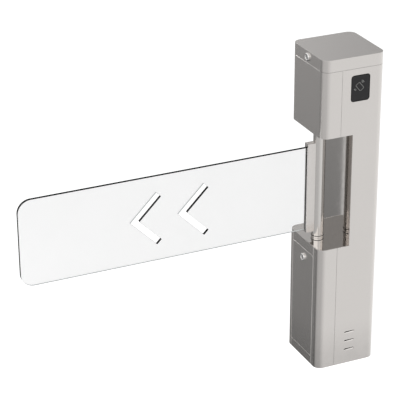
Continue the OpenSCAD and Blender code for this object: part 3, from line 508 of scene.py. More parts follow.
def make_brushing():
    """Fine lines drawn out along one direction, and a slow drift of tone."""
    group, given, made = effect("brushing", [("Stretch", "Vector", (1, 1, 1))], ("Lines", "Drift"))
    place = place_node(group)
    stretch = group.nodes.new("ShaderNodeVectorMath")
    stretch.operation = "MULTIPLY"
    group.links.new(place, stretch.inputs[0])
    group.links.new(given.outputs["Stretch"], stretch.inputs[1])
    lines = noise_node(group, stretch.outputs[0], 1.0, 4.0, 0.65)
    group.links.new(lines, made.inputs["Lines"])
    group.links.new(noise_node(group, place, 7.0, 3.0), made.inputs["Drift"])
    return group


def make_wear():
    """A mask of the rubbed edges, broken up by noise."""
    group, given, made = effect("edge_wear", [("Amount", "Float", 0.5)], ("Mask",))
    point = group.nodes.new("ShaderNodeNewGeometry").outputs["Pointiness"]
    edge = ramp_node(group, point, 0.53, 0.62)
    broken = ramp_node(group, noise_node(group, place_node(group), 90.0, 4.0), 0.35, 0.65)
    worn = sum_node(group, "MULTIPLY", edge, broken)
    group.links.new(sum_node(group, "MULTIPLY", worn, given.outputs["Amount"], True), made.inputs["Mask"])
    return group


def make_dust_and_shade():
    """A patchy mask that darkens towards the ground: dust, and painted shade for the floor's contact shadow
    seen in the steel.
    """
    group, given, made = effect("floor_dust_and_shade", [("Amount", "Float", 0.5)], ("Mask",))
    place = place_node(group)
    split = group.nodes.new("ShaderNodeSeparateXYZ")
    group.links.new(place, split.inputs[0])
    low = ramp_node(group, split.outputs["Z"], 0.0, 0.16, 1.0, 0.0)
    patchy = ramp_node(group, noise_node(group, place, 28.0, 5.0), 0.25, 0.75, 0.75, 1.0)
    dust_and_shade = sum_node(group, "MULTIPLY", low, patchy)
    group.links.new(sum_node(group, "MULTIPLY", dust_and_shade, given.outputs["Amount"], True), made.inputs["Mask"])
    return group


def make_touch():
    """A mask of finger marks and wiping, soft and uneven."""
    group, given, made = effect("touch_marks", [("Scale", "Float", 20.0)], ("Mask",))
    place = place_node(group)
    marks = ramp_node(group, noise_node(group, place, given.outputs["Scale"], 4.0, 0.6), 0.45, 0.7)
    group.links.new(marks, made.inputs["Mask"])
    return group


def make_speckle():
    """The fine texture of a moulded or painted surface."""
    group, given, made = effect("speckle", [("Scale", "Float", 1500.0)], ("Height", "Tone"))
    place = place_node(group)
    group.links.new(noise_node(group, place, given.outputs["Scale"], 2.0), made.inputs["Height"])
    group.links.new(noise_node(group, place, 40.0, 3.0), made.inputs["Tone"])
    return group


EFFECTS = {
    "brushing": make_brushing(),
    "wear": make_wear(),
    "dust_and_shade": make_dust_and_shade(),
    "touch": make_touch(),
    "speckle": make_speckle(),
}


def place_effect(tree, name, **values):
    """Puts a shared effect into a material with its own values."""
    node = tree.nodes.new("ShaderNodeGroup")
    node.node_tree = EFFECTS[name]
    for label, value in values.items():
        node.inputs[label].default_value = value
    return node.outputs


def blank(name, slot):
    """A new material and its shader."""
    material = bpy.data.materials.new(name)
    material.use_nodes = True
    material["slot"] = slot
    return material, material.node_tree, material.node_tree.nodes["Principled BSDF"]


def mix_colour(tree, mask, first, second):
    """One colour over another by a mask. Colours are sockets or RGB."""
    node = tree.nodes.new("ShaderNodeMix")
    node.data_type = "RGBA"
    tree.links.new(mask, node.inputs["Factor"])
    for socket, value in ((node.inputs[6], first), (node.inputs[7], second)):
        if isinstance(value, tuple):
            socket.default_value = (*value, 1)
        else:
            tree.links.new(value, socket)
    return node.outputs[2]


def raise_surface(tree, shader, height, strength, distance):
    """Bump from a height."""
    node = tree.nodes.new("ShaderNodeBump")
    node.inputs["Strength"].default_value = strength
    node.inputs["Distance"].default_value = distance
    tree.links.new(height, node.inputs["Height"])
    tree.links.new(node.outputs["Normal"], shader.inputs["Normal"])


def shade(colour, factor):
    """A colour made lighter or darker."""
    return tuple(min(c * factor, 1.0) for c in colour)


# Lines across the grain per metre for sheets brushed upright, along X, or turned about Z
UPRIGHT = (2600, 2600, 18)
ACROSS = (18, 2600, 2600)
TURNED = (400, 400, 2600)
EVEN = (900, 900, 900)

# How deep the brushed lines and the moulded texture are, how much rougher worn edges get, and the colour of
# dust and painted shade near the ground
GRAIN_DEEP = 0.1 * MM
SPECKLE_DEEP = 0.05 * MM
WORN_ROUGH = -0.04
DUST_AND_SHADE = (0.40, 0.385, 0.37)


def metal(name, slot, colour, rough, grain, line=0.08, wear=0.4, dust_and_shade=0.0, touch=0.06, bump=0.015):
    """A brushed, polished or turned metal."""
    material, tree, shader = blank(name, slot)
    shader.inputs["Metallic"].default_value = 1.0
    lines = place_effect(tree, "brushing", Stretch=grain)
    worn = place_effect(tree, "wear", Amount=wear)["Mask"]
    marks = place_effect(tree, "touch", Scale=24.0)["Mask"]
    tone = mix_colour(tree, lines["Drift"], shade(colour, 0.985), shade(colour, 1.015))
    tone = mix_colour(tree, worn, tone, shade(colour, 1.18))
    # Darker towards the ground: dust, and painted shade that stands in for the floor's contact shadow seen
    # in the steel
    if dust_and_shade:
        tone = mix_colour(tree, place_effect(tree, "dust_and_shade", Amount=dust_and_shade)["Mask"], tone, DUST_AND_SHADE)
    tree.links.new(tone, shader.inputs["Base Color"])
    grainy = sum_node(tree, "MULTIPLY", lines["Lines"], line)
    smeared = sum_node(tree, "MULTIPLY", marks, touch)
    rubbed = sum_node(tree, "MULTIPLY", worn, WORN_ROUGH)
    total = sum_node(tree, "ADD", sum_node(tree, "ADD", grainy, smeared), rubbed)
    tree.links.new(sum_node(tree, "ADD", total, rough - line / 2, True), shader.inputs["Roughness"])
    raise_surface(tree, shader, lines["Lines"], bump, GRAIN_DEEP)
    return material


def moulded(name, slot, colour, rough, speckle=1500.0, bump=0.15, metallic=0.0, wear=0.3, gloss=0.5):
    """Plastic, rubber, paint or cast metal with a fine texture."""
    material, tree, shader = blank(name, slot)
    shader.inputs["Metallic"].default_value = metallic
    shader.inputs["Specular IOR Level"].default_value = gloss
    fine = place_effect(tree, "speckle", Scale=speckle)
    worn = place_effect(tree, "wear", Amount=wear)["Mask"]
    tone = mix_colour(tree, fine["Tone"], shade(colour, 0.88), shade(colour, 1.1))
    tone = mix_colour(tree, worn, tone, shade(colour, 1.6))
    tree.links.new(tone, shader.inputs["Base Color"])
    uneven = sum_node(tree, "MULTIPLY", fine["Tone"], 0.12)
    tree.links.new(sum_node(tree, "ADD", uneven, rough - 0.06, True), shader.inputs["Roughness"])
    raise_surface(tree, shader, fine["Height"], bump, SPECKLE_DEEP)
    return material


def window_gloss():
    """Dark glossy front of the card reader, with faint finger marks."""
    material, tree, shader = blank("reader_gloss", "reader_gloss")
    marks = place_effect(tree, "touch", Scale=60.0)["Mask"]
    tone = mix_colour(tree, marks, (0.011, 0.011, 0.012), (0.015, 0.015, 0.016))
    tree.links.new(tone, shader.inputs["Base Color"])
    rough = sum_node(tree, "MULTIPLY", marks, 0.10)
    tree.links.new(sum_node(tree, "ADD", rough, 0.05), shader.inputs["Roughness"])
    shader.inputs["Specular IOR Level"].default_value = 0.3
    return material


def panel_clear():
    """The panel's clear faces: a slight grey tint and a few wiping marks."""
    material, tree, shader = blank("panel_clear", "clear_panel")
    marks = place_effect(tree, "touch", Scale=9.0)["Mask"]
    tone = mix_colour(tree, marks, (0.95, 0.952, 0.952), (0.94, 0.942, 0.942))
    tree.links.new(tone, shader.inputs["Base Color"])
    shader.inputs["Transmission Weight"].default_value = 1.0
    shader.inputs["IOR"].default_value = 1.49
    rough = sum_node(tree, "MULTIPLY", marks, 0.02)
    tree.links.new(rough, shader.inputs["Roughness"])
    return material


def panel_edge_painted_dark():
    """The panel's sawn and polished edges: painted near black from outside as painted shade for the dark
    look of a clear edge, and a grey see-through from within the sheet.
    """
    material, tree, shader = blank("panel_edge_painted_dark", "clear_panel")
    fine = place_effect(tree, "speckle", Scale=700.0)
    # Near-black colour on a clear edge: painted shade
    tone = mix_colour(tree, fine["Tone"], (0.002, 0.003, 0.003), (0.006, 0.007, 0.007))
    tree.links.new(tone, shader.inputs["Base Color"])
    shader.inputs["Roughness"].default_value = 0.16
    shader.inputs["Specular IOR Level"].default_value = 0.03
    inside = tree.nodes.new("ShaderNodeBsdfTransparent")
    inside.inputs["Color"].default_value = (0.55, 0.57, 0.57, 1)
    behind = tree.nodes.new("ShaderNodeNewGeometry").outputs["Backfacing"]
    both = tree.nodes.new("ShaderNodeMixShader")
    tree.links.new(behind, both.inputs["Fac"])
    tree.links.new(shader.outputs["BSDF"], both.inputs[1])
    tree.links.new(inside.outputs["BSDF"], both.inputs[2])
    tree.links.new(both.outputs["Shader"], tree.nodes["Material Output"].inputs["Surface"])
    return material


def circuit_board():
    """Green solder mask over a grid of tracks, with tinned pads."""
    material, tree, shader = blank("circuit_board", "board_green")
    place = place_node(tree)
    cells = tree.nodes.new("ShaderNodeTexVoronoi")
    cells.feature = "DISTANCE_TO_EDGE"
    cells.inputs["Scale"].default_value = 190.0
    tree.links.new(place, cells.inputs["Vector"])
    track = ramp_node(tree, cells.outputs["Distance"], 0.05, 0.09, 1.0, 0.0)
    fine = place_effect(tree, "speckle", Scale=900.0)
    mask = mix_colour(tree, fine["Tone"], (0.010, 0.085, 0.035), (0.014, 0.11, 0.045))
    tone = mix_colour(tree, track, mask, (0.03, 0.20, 0.08))
    tree.links.new(tone, shader.inputs["Base Color"])
    shader.inputs["Roughness"].default_value = 0.32
    raise_surface(tree, shader, track, 0.25, SPECKLE_DEEP)
    return material


STEEL = (0.610, 0.585, 0.565)
SATIN = {"line": 0.02, "wear": 0.12, "touch": 0.008, "bump": 0.004}
MATERIALS = {
    # The post's satin sheets are darkened most near the ground: painted shade, with some dust
    "satin": metal("satin_steel", "satin_steel", STEEL, 0.25, UPRIGHT, dust_and_shade=0.55, **SATIN),
    "lid": metal("satin_steel_lid", "satin_steel", STEEL, 0.25, ACROSS, **SATIN),
    "polished": metal("polished_steel", "polished_steel", STEEL, 0.025, UPRIGHT, line=0.01, touch=0.01,
        bump=0.002),
    "round": metal("polished_pole", "polished_steel", (0.62, 0.60, 0.58), 0.20, TURNED, line=0.06),
    "plain": metal("plain_steel", "plain_steel", (0.40, 0.41, 0.42), 0.42, EVEN, dust_and_shade=0.3, wear=0.6,
        bump=0.12),
    "machined": metal("machined_steel", "machined_steel", (0.56, 0.56, 0.57), 0.24, TURNED, line=0.12),
    "cast": moulded("cast_alloy", "cast_alloy", (0.50, 0.51, 0.53), 0.42, speckle=700.0, bump=0.3,
        metallic=0.9, wear=0.5),
    "casing": moulded("dark_casing", "dark_casing", (0.035, 0.037, 0.042), 0.45, speckle=1200.0, bump=0.3),
    "black": moulded("black_plastic", "black_plastic", (0.018, 0.018, 0.020), 0.42, speckle=1600.0),
    "pale": moulded("light_plastic", "light_plastic", (0.48, 0.50, 0.47), 0.45, speckle=1600.0),
    "gear": moulded("gear_plastic", "gear_plastic", (0.76, 0.72, 0.62), 0.38, speckle=1400.0, bump=0.1),
    "rim": moulded("reader_frame", "black_plastic", (0.010, 0.010, 0.010), 0.5, speckle=1600.0, gloss=0.12),
    "print": moulded("reader_print", "light_plastic", (0.30, 0.30, 0.29), 0.5, speckle=1600.0, bump=0.05,
        gloss=0.2),
    "liner": moulded("grey_liner", "black_rubber", (0.24, 0.24, 0.235), 0.7, speckle=1100.0, bump=0.35),
    "rubber": moulded("black_rubber", "black_rubber", (0.022, 0.022, 0.022), 0.78, speckle=1100.0,
        bump=0.35),
    "chrome": metal("lock_chrome", "lock_chrome", (0.80, 0.79, 0.78), 0.12, TURNED, line=0.03, bump=0.01),
    "core": metal("lock_core", "lock_chrome", (0.46, 0.46, 0.46), 0.30, TURNED, line=0.06),
    "reader": window_gloss(),
    "clear": panel_clear(),
    "edge": panel_edge_painted_dark(),
    "board": circuit_board(),
}


# The post's sheets

def post_block(name, low, high):
    """The post's round-cornered outline between two heights, left open in edit mode."""
    piece = block(name, (LEFT, FRONT, low), (RIGHT, REAR, high))
    edit(piece)
    choose(piece, "EDGE", lambda edge: runs_along(edge, 2))
    bpy.ops.mesh.bevel(offset=CORNER_R, segments=CORNER_STEPS, affect="EDGES")
    return piece


def post_sheet(name, z, planes):
    """A folded sheet of the post between two heights, kept behind each plane."""
    piece = post_block(name, *z)
    choose(piece, "FACE", lambda face: abs(face.normal.z) > 0.9)
    bpy.ops.mesh.delete(type="FACE")
    for place, away in planes:
        bpy.ops.mesh.select_all(action="SELECT")
        bpy.ops.mesh.bisect(plane_co=place, plane_no=away, clear_outer=True)
    use(piece, "SOLIDIFY", thickness=SHEET, offset=-1, use_even_offset=True)
    return piece


def reader_tool(grow, y):
    """A round-cornered block in the reader's outline."""
    half_w, half_h = READER_SIZE[0] / 2 + grow, READER_SIZE[1] / 2 + grow
    return rounded_block("reader_tool", (READER.x - half_w, y[0], READER.z - half_h),
        (READER.x + half_w, y[1], READER.z + half_h), 1, READER_R + grow, 10)


def vent_tool(z):
    """A slot with round ends."""
    half_w, half_h = VENT_SIZE[0] / 2, VENT_SIZE[1] / 2
    return rounded_block("vent_tool", (VENT_X - half_w, FRONT - SHEET, z - half_h),
        (VENT_X + half_w, FRONT + 2 * SHEET, z + half_h), 1, half_h * VENT_ROUND)


def vent_tongue(z):
    """The pressed tongue of a vent: it leans in as it rises, and leaves a wider gap at its left."""
    half_w, half_h = VENT_SIZE[0] / 2 + TONGUE_LAP, VENT_SIZE[1] / 2
    foot = Vector((VENT_X, FRONT + TONGUE_BACK, z - half_h - TONGUE_LAP))
    piece = rounded_block("vent_tongue", (VENT_X - half_w, foot.y, foot.z),
        (VENT_X + half_w, foot.y + TONGUE_THICK, z + half_h), 1, TONGUE_R)
    edit(piece)
    top = (VENT_X + half_w, foot.y, z + half_h - VENT_GAP)
    bpy.ops.mesh.bisect(plane_co=top, plane_no=(0, 0, 1), clear_outer=True, use_fill=True)
    bpy.ops.mesh.select_all(action="SELECT")
    turn_by(math.radians(TONGUE_TWIST), "Y", top)
    turn_by(math.radians(TONGUE_LEAN), "X", foot)
    bpy.ops.mesh.bisect(plane_co=foot, plane_no=(0, -1, 0), clear_outer=True, use_fill=True)
    return take(piece)


def make_column():
    """Tall right part of the post with the notch, the reader's cut-out and the vents."""
    piece = post_sheet("column_sheet", (0, BODY_TOP), [((SEAM_X + SEAM / 2, 0, 0), (-1, 0, 0))])
    carve(piece, block("notch_tool", (LEFT, 2 * FRONT, NOTCH_BOTTOM), (WALL_X, 2 * REAR, NOTCH_TOP)),
        reader_tool(READER_GAP, (FRONT - SHEET, FRONT + 2 * SHEET)), *(vent_tool(z) for z in VENT_ROWS))
    weld(piece, *(vent_tongue(z) for z in VENT_ROWS))
    dress(ease(piece, SOFT_COLUMN), MATERIALS["satin"], "post", "column_shell")


def make_left_sheets():
    """The corners of the lower housing and the left part of the upper one."""
    seam = ((SEAM_X - SEAM / 2, 0, 0), (1, 0, 0))
    front = post_sheet("front_corner_sheet", (0, NOTCH_BOTTOM),
        [seam, ((0, DOOR_LOW.y - SEAM, 0), (0, 1, 0))])
    rear = post_sheet("rear_corner_sheet", (0, NOTCH_BOTTOM),
        [seam, ((0, DOOR_HIGH.y + SEAM, 0), (0, -1, 0))])
    upper = post_sheet("upper_sheet", (NOTCH_TOP, BODY_TOP), [seam])
    near, far = FRONT + CORNER_R, REAR - CORNER_R
    weld(upper, block("hem", (LEFT, near, BODY_TOP - HEM), (LEFT + HEM, far, BODY_TOP)))
    foot = BODY_TOP - HEM_CHAMFER[1]
    tool = block("chamfer_tool", (LEFT - 2 * HEM, near, foot), (LEFT, far, foot + 2 * HEM))
    edit(tool)
    turn_by(-math.atan2(*HEM_CHAMFER), "Y", (LEFT, 0, foot))
    carve(ease(upper, SOFT), tool)
    smooth(upper)
    dress(upper, MATERIALS["satin"], "post", "upper_shell")
    for piece, node in ((front, "lower_front_corner"), (rear, "lower_rear_corner")):
        dress(ease(chamfer_seams(piece), SOFT), MATERIALS["satin"], "post", node)


def hook(name, y, low, high, side):
    """A sheet hook: a strip that drops from the upper half of a flange."""
    piece = block(name, (low.x, y - HOOK_W / 2, low.z), (high.x, y + HOOK_W / 2, high.z))
    edit(piece)
    middle_z = (low.z + high.z) / 2
    bpy.ops.mesh.bisect(plane_co=(0, 0, middle_z), plane_no=(0, 0, 1))
    choose(piece, "FACE", lambda face: face.normal.x * side > 0.9 and middle(face).z > middle_z)
    pull(side * (HOOK_GAP + SHEET / 2), 0)
    return take(piece)


def lock_tool(z):
    """The round hole that a lock's barrel passes through."""
    return rod("lock_tool", LOCK_HOLE_R, (LEFT - SHEET, 0, z), (LEFT + 2 * SHEET, 0, z))


def make_lid():
    """Cap with a softened rim, two hooks at its right and a hole for the lock."""
    piece = post_block("lid_cap", LID_Z, TOP)
    choose(piece, "FACE", facing((0, 0, -1)))
    bpy.ops.mesh.delete(type="FACE")
    choose(piece, "EDGE", lambda edge: all(v.co.z > TOP - SAME_CUT for v in edge.verts))
    bpy.ops.mesh.bevel(offset=LID_RIM, segments=2, affect="EDGES")
    use(piece, "SOLIDIFY", thickness=SHEET, offset=-1, use_even_offset=True)
    carve(piece, lock_tool(LID_LOCK_Z))
    right = RIGHT - SHEET - HOOK_GAP
    for y in LID_HOOKS:
        weld(piece, hook("lid_hook", y, Vector((right - HOOK_T, 0, LID_Z - HOOK_DROP)),
            Vector((right, 0, LID_Z + HOOK_DROP)), 1))
    dress(ease(piece, SOFT), MATERIALS["lid"], "lid", "lid")


def make_door():
    """Flat door with two hooks at its foot and a hole for the lock."""
    piece = block("door_leaf", (LEFT, DOOR_LOW.y, DOOR_BOTTOM), (LEFT + SHEET, DOOR_HIGH.y, DOOR_HIGH.z))
    chamfer_seams(piece)
    carve(piece, lock_tool(DOOR_LOCK_Z))
    left = LEFT + SHEET + HOOK_GAP
    for y in DOOR_HOOKS:
        weld(piece, hook("door_hook", y, Vector((left, 0, DOOR_BOTTOM - HOOK_DROP)),
            Vector((left + HOOK_T, 0, DOOR_BOTTOM + HOOK_DROP)), -1))
    dress(ease(piece, SOFT), MATERIALS["satin"], "door", "access_door")


def make_notch():
    """The three polished sheets that line the notch, and the frame round the door."""
    names = {"notch_wall": "notch_back", "notch_floor": "notch_sill", "notch_ceiling": "notch_soffit"}
    for node, name in names.items():
        dress(ease(copy_of(node, name), SOFT_FINE), MATERIALS["polished"], "post", node)
    surround = chamfer_seams(copy_of("door_frame", "door_surround"))
    dress(ease(surround, SOFT), MATERIALS["satin"], "post", "door_frame")


# The arm

def pole_ring(name, radius, z, bore_r, run_out):
    """A round bar on the pole's axis between two heights, bored through."""
    ring = rod(name, radius, (POLE_X, 0, z[0]), (POLE_X, 0, z[1]), POLE_SIDES)
    carve(ring, rod("bore_tool", bore_r, (POLE_X, 0, run_out[0] - MM), (POLE_X, 0, run_out[1] + MM)))
    return ring


def make_pole():
    """The pole, the two fixed rings that it turns between and a wear ring in each gap."""
    low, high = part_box("pole_tube")[0].z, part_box("pole_tube")[1].z
    pole = pole_ring("pole_bar", POLE_R, (low, high), POLE_BORE_R, (low, high))
    dress(ease(pole, SOFT), MATERIALS["round"], "arm", "pole_tube")
    for node, name in (("lower_collar", "lower_ring"), ("upper_collar", "upper_ring")):
        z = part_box(node)[0].z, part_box(node)[1].z
        dress(ease(pole_ring(name, POLE_R, z, RING_BORE_R, z), SOFT), MATERIALS["round"], "post", node)
    for name, z in (("lower_wear_ring", (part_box("lower_collar")[1].z, low)),
            ("upper_wear_ring", (high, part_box("upper_collar")[0].z))):
        washer = pole_ring(name, POLE_R + WEAR_RING_PROUD, (z[0] + WEAR_RING_GAP, z[1] - WEAR_RING_GAP),
            RING_BORE_R, z)
        dress(ease(washer, SOFT_FINE), MATERIALS["rubber"], "post")


def make_clamp():
    """Both halves of the clamp, welded to the pole and closed round the panel."""
    low, high = CLAMP_LOW, CLAMP_HIGH
    back_low, back_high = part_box("clamp_rear")
    front = block("clamp_body", low, (POLE_X, high.y, high.z))
    slot_low = Vector((low.x - MM, PANEL_LOW.y - MM, PANEL_LOW.z - CLAMP_GAP))
    slot_high = Vector((PANEL_HIGH.x + MM, high.y + MM, PANEL_HIGH.z + CLAMP_GAP))
    rear = block("clamp_back", back_low, (POLE_X, back_high.y, back_high.z))
    carve(front, block("slot_tool", slot_low, slot_high))
    for piece in (front, rear):
        carve(piece, rod("pole_tool", POLE_R + POLE_FIT, (POLE_X, 0, low.z - MM),
            (POLE_X, 0, high.z + MM), POLE_SIDES))
    for z in clamp_screws(back_high.y):
        carve(rear, rod("screw_tool", SINK_R, (SCREW_X, back_high.y + SAME_CUT, z),
            (SCREW_X, back_high.y - SINK_DEEP, z), 48, SINK_FOOT_R))
    dress(ease(front, CLAMP_SOFT, 3), MATERIALS["satin"], "arm", "clamp_front")
    dress(ease(rear, CLAMP_BACK_SOFT), MATERIALS["satin"], "arm", "clamp_rear")


def clamp_screws(y):
    """Four countersunk screws with hexagon sockets, in one piece. Returns their heights."""
    low, high = PANEL_LOW.z + SCREW_MARGIN, PANEL_HIGH.z - SCREW_MARGIN
    heights = [low + i * (high - low) / (SCREW_COUNT - 1) for i in range(SCREW_COUNT)]
    made = []
    for z in heights:
        screw = rod("clamp_bolts", SCREW_R, (SCREW_X, y - HEAD_SUNK, z), (SCREW_X, y - HEAD_DEEP, z), 48,
            SHANK_R)
        weld(screw, rod("shank", SHANK_R, (SCREW_X, y - SHANK_TOP, z), (SCREW_X, y - SHANK_END, z), 32))
        carve(screw, rod("socket", SOCKET_R, (SCREW_X, y + MM, z), (SCREW_X, y - SOCKET_DEEP, z), 6))
        made.append(ease(screw, SOFT_SMALL))
    take(made[0])
    for screw in made[1:]:
        screw.select_set(True)
    bpy.ops.object.join()
    dress(made[0], MATERIALS["machined"], "arm", "clamp_screws")
    return heights


def chevron_leg(tip, way):
    """A straight cutter along one leg of a chevron, mitred at the panel's middle height."""
    length = CHEVRON_HALF * math.sqrt(2)
    piece = block("chevron_tool", (tip - CHEVRON_STROKE, -2 * PANEL_HIGH.y, PANEL_MID - CHEVRON_STROKE),
        (tip + length, 2 * PANEL_HIGH.y, PANEL_MID))
    if way < 0:
        edit(piece)
        bpy.ops.transform.translate(value=(0, 0, CHEVRON_STROKE))
    edit(piece)
    turn_by(way * math.radians(45), "Y", (tip, 0, PANEL_MID))
    bpy.ops.mesh.select_all(action="SELECT")
    bpy.ops.mesh.bisect(plane_co=(0, 0, PANEL_MID), plane_no=(0, 0, -way), clear_outer=True, use_fill=True)
    return take(piece)


def make_panel():
    """Clear sheet with two round corners and two chevrons cut through it."""
    piece = block("clear_panel", PANEL_LOW, PANEL_HIGH)
    edit(piece)
    choose(piece, "EDGE", lambda edge: runs_along(edge, 1) and middle(edge).x < PANEL_LOW.x + MM)
    bpy.ops.mesh.bevel(offset=PANEL_R, segments=24, affect="EDGES")
    for tip in CHEVRON_TIPS:
        carve(piece, chevron_leg(tip, 1), chevron_leg(tip, -1))
    edit(piece)
    even_out(SAME_CUT)
    choose(piece, "EDGE", lambda edge: runs_along(edge, 1) and len(edge.link_faces) == 2
        and edge.calc_face_angle(0) > math.radians(30) and middle(edge).x < PANEL_HIGH.x - MM)
    bpy.ops.mesh.bevel(offset=CHEVRON_R, segments=4, affect="EDGES")
    take(piece)
    piece.data.materials.clear()
    use(piece, "BEVEL", width=PANEL_SOFT, segments=2, limit_method="ANGLE", angle_limit=math.radians(40))
    dress(piece, MATERIALS["clear"], "arm", "swing_panel")
    piece.data.materials.append(MATERIALS["edge"])
    for face in piece.data.polygons:
        face.material_index = 0 if abs(face.normal.y) > 0.95 else 1
    smooth(piece, 25)


# Locks

def hexagon(name, radius, start, end):
    """A nut with chamfered corners."""
    piece = rod(name, radius, start, end, 6)
    return ease(piece, NUT_CHAMFER, 1)


def make_lock(name, z, body, core_body):
    """A cam lock: polished head with a recessed face, barrel, nut, turning core and cam."""
    face = LEFT - LOCK_RISE
    head = rod(name + "_head", LOCK_R, (LEFT, 0, z), (face, 0, z), 72)
    edit(head)
    choose(head, "EDGE", lambda edge: all(abs(v.co.x - face) < ON_FACE for v in edge.verts))
    bpy.ops.mesh.bevel(offset=LOCK_ROUND, segments=8, affect="EDGES")
    choose(head, "FACE", facing((-1, 0, 0), 0.999))
    bpy.ops.mesh.inset(thickness=LOCK_RING - LOCK_ROUND)
    pull(LOCK_DEPTH, 0)
    inner = LOCK_R - LOCK_RING + 2 * ON_FACE
    choose(head, "EDGE", lambda edge: all(v.co.x < face + ON_FACE
        and math.hypot(v.co.y, v.co.z - z) < inner for v in edge.verts))
    bpy.ops.mesh.bevel(offset=LOCK_INNER, segments=5, affect="EDGES")
    weld(head, rod("barrel", BARREL_R, (LEFT - MM, 0, z), (LOCK_HIGH.x, 0, z), 48),
        hexagon("nut", NUT_R, (LEFT + SHEET, 0, z), (LOCK_HIGH.x, 0, z)))
    carve(head, rod("bore", CORE_BORE_R, (2 * LEFT, 0, z), (0, 0, z)))
    dress(ease(head, SOFT_SMALL), MATERIALS["chrome"], body, name + "_body")
    front, end = face + LOCK_DEPTH - PLUG_PROUD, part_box(name + "_core")[1].x
    core = rod(name + "_plug", PLUG_R, (front, 0, z), (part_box(name + "_cam")[0].x, 0, z))
    weld(core, rod("stub", STUB_R, (front + STUB_LAP, 0, z), (end, 0, z), 32))
    carve(core, block("key_tool", (face - MM, -KEY_HALF[0], z - KEY_HALF[1]),
        (LEFT - KEY_BACK, KEY_HALF[0], z + KEY_HALF[1])))
    dress(ease(core, PLUG_SOFT), MATERIALS["core"], core_body, name + "_core")
    cam = ease(copy_of(name + "_cam", name + "_lever"), SOFT)
    dress(cam, MATERIALS["machined"], core_body, name + "_cam")


# Reader

def card_outline():
    """The outline of a tilted card, as a thin raised print."""
    half_w, half_h = CARD_SIZE[0] / 2, CARD_SIZE[1] / 2
    shapes = []
    for inset, reach in ((0, 0), (STROKE, MM)):
        low = (CARD.x - half_w + inset, PRINT[0] - reach, CARD.z - half_h + inset)
        high = (CARD.x + half_w - inset, PRINT[1] + reach, CARD.z + half_h - inset)
        shapes.append(rounded_block("reader_symbol", low, high, 1, CARD_R - inset, 6))
    carve(*shapes)
    edit(shapes[0])
    turn_by(-math.radians(CARD_TURN), "Y", CARD)
    return take(shapes[0])


def waves(centre, angle, radii):
    """Printed arcs about a centre that open towards an angle from +X."""
    x, z = centre.x, centre.z
    made = []
    for radius in radii:
        arc = rod("wave", radius * MM + STROKE / 2, (x, PRINT[1], z), (x, PRINT[0], z), 48)
        carve(arc, rod("hole", radius * MM - STROKE / 2, (x, REAR, z), (x, 2 * FRONT, z), 48))
        edit(arc)
        for side in (-1, 1):
            away = math.radians(angle + side * (WAVE_HALF_ANGLE + 90))
            bpy.ops.mesh.select_all(action="SELECT")
            bpy.ops.mesh.bisect(plane_co=centre, plane_no=(math.cos(away), 0, math.sin(away)),
                clear_outer=True, use_fill=True)
        made.append(take(arc))
    return made


def make_reader():
    """Glossy window in a slim rim, with a card and waves printed on it."""
    rim = reader_tool(0, (FRONT, FRONT + RIM_BACK))
    rim.name = rim.data.name = "reader_rim"
    weld(rim, reader_tool(RIM_FLANGE, (FRONT + SHEET, FRONT + RIM_BACK)))
    edit(rim)
    choose(rim, "FACE", lambda face: face.normal.y < -0.9 and middle(face).y < FRONT + 2 * ON_FACE)
    bpy.ops.mesh.inset(thickness=RIM_WIDTH)
    pull(0, RIM_STEP)
    dress(ease(rim, SOFT, 3), MATERIALS["rim"], "post")
    glass = reader_tool(-GLASS_INSET, GLASS)
    glass.name = glass.data.name = "reader_glass"
    dress(ease(glass, GLASS_SOFT, 3), MATERIALS["reader"], "post", "reader_window", slot="reader_gloss")
    printed = waves(*WAVES_HIGH) + waves(*WAVES_LOW)
    symbol = card_outline()
    for wave in printed:
        wave.select_set(True)
    bpy.ops.object.join()
    dress(symbol, MATERIALS["print"], "post")


def finish_nodes():
    """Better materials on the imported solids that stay."""
    finishes = {
        "plain": ("base_plate", "seam_strips", "lid_seat_frame", "support_angles", "equipment_plate"),
        "machined": ("lower_bearing", "upper_bearing", "drive_standoffs", "lower_shaft", "upper_shaft",
            "pole_plugs", "shaft_coupling", "gearbox_shaft", "din_rail", "power_supply"),
        "cast": ("drive_plate", "upper_plate", "lower_bearing_housing", "upper_bearing_housing",
            "motor_plate", "gearbox"),
        "casing": ("motor", "motor_brake", "drive_screws"),
        "black": ("encoder", "limit_sensors", "sensor_disc", "board_components", "reader_housing"),
        "rubber": ("door_gasket",),
        "liner": ("panel_liners",),
        "board": ("control_board", "reader_board"),
        "gear": ("shaft_gear", "encoder_gear"),
        "pale": ("terminal_blocks",),
    }
    for finish, nodes in finishes.items():
        for node in nodes:
            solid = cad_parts[node]
            solid.data.materials.clear()
            solid.data.materials.append(MATERIALS[finish])


# Floor, world and lamp

def make_floor():
    """Pale floor that stays white behind the post and keeps its shadow."""
    bpy.ops.mesh.primitive_plane_add(size=FLOOR_SIZE, location=(0, 0, -FLOOR_DROP))
    floor = bpy.context.active_object
    settle(floor, "floor")
    material = bpy.data.materials.new("pale_floor")
    material.use_nodes = True
    tree = material.node_tree
    tree.nodes.clear()
    light_path = tree.nodes.new("ShaderNodeLightPath").outputs
    seen = sum_node(tree, "MULTIPLY", light_path["Is Camera Ray"], FLOOR_GLOW)
    through = sum_node(tree, "MULTIPLY", light_path["Is Transmission Ray"], FLOOR_GLOW_IN_GLASS)
    matt = tree.nodes.new("ShaderNodeBsdfDiffuse")
    matt.inputs["Color"].default_value = FLOOR_GREY
    glow = tree.nodes.new("ShaderNodeEmission")
    tree.links.new(sum_node(tree, "ADD", seen, through), glow.inputs["Strength"])
    both = tree.nodes.new("ShaderNodeAddShader")
    tree.links.new(matt.outputs[0], both.inputs[0])
    tree.links.new(glow.outputs[0], both.inputs[1])
    out = tree.nodes.new("ShaderNodeOutputMaterial")
    tree.links.new(both.outputs[0], out.inputs["Surface"])
    floor.data.materials.append(material)
    floor.visible_glossy = False
    floor.visible_shadow = False


def turn_share(angle):
    """A compass angle as a share of the whole turn from -180 degrees."""
    return (angle + 180) / 360


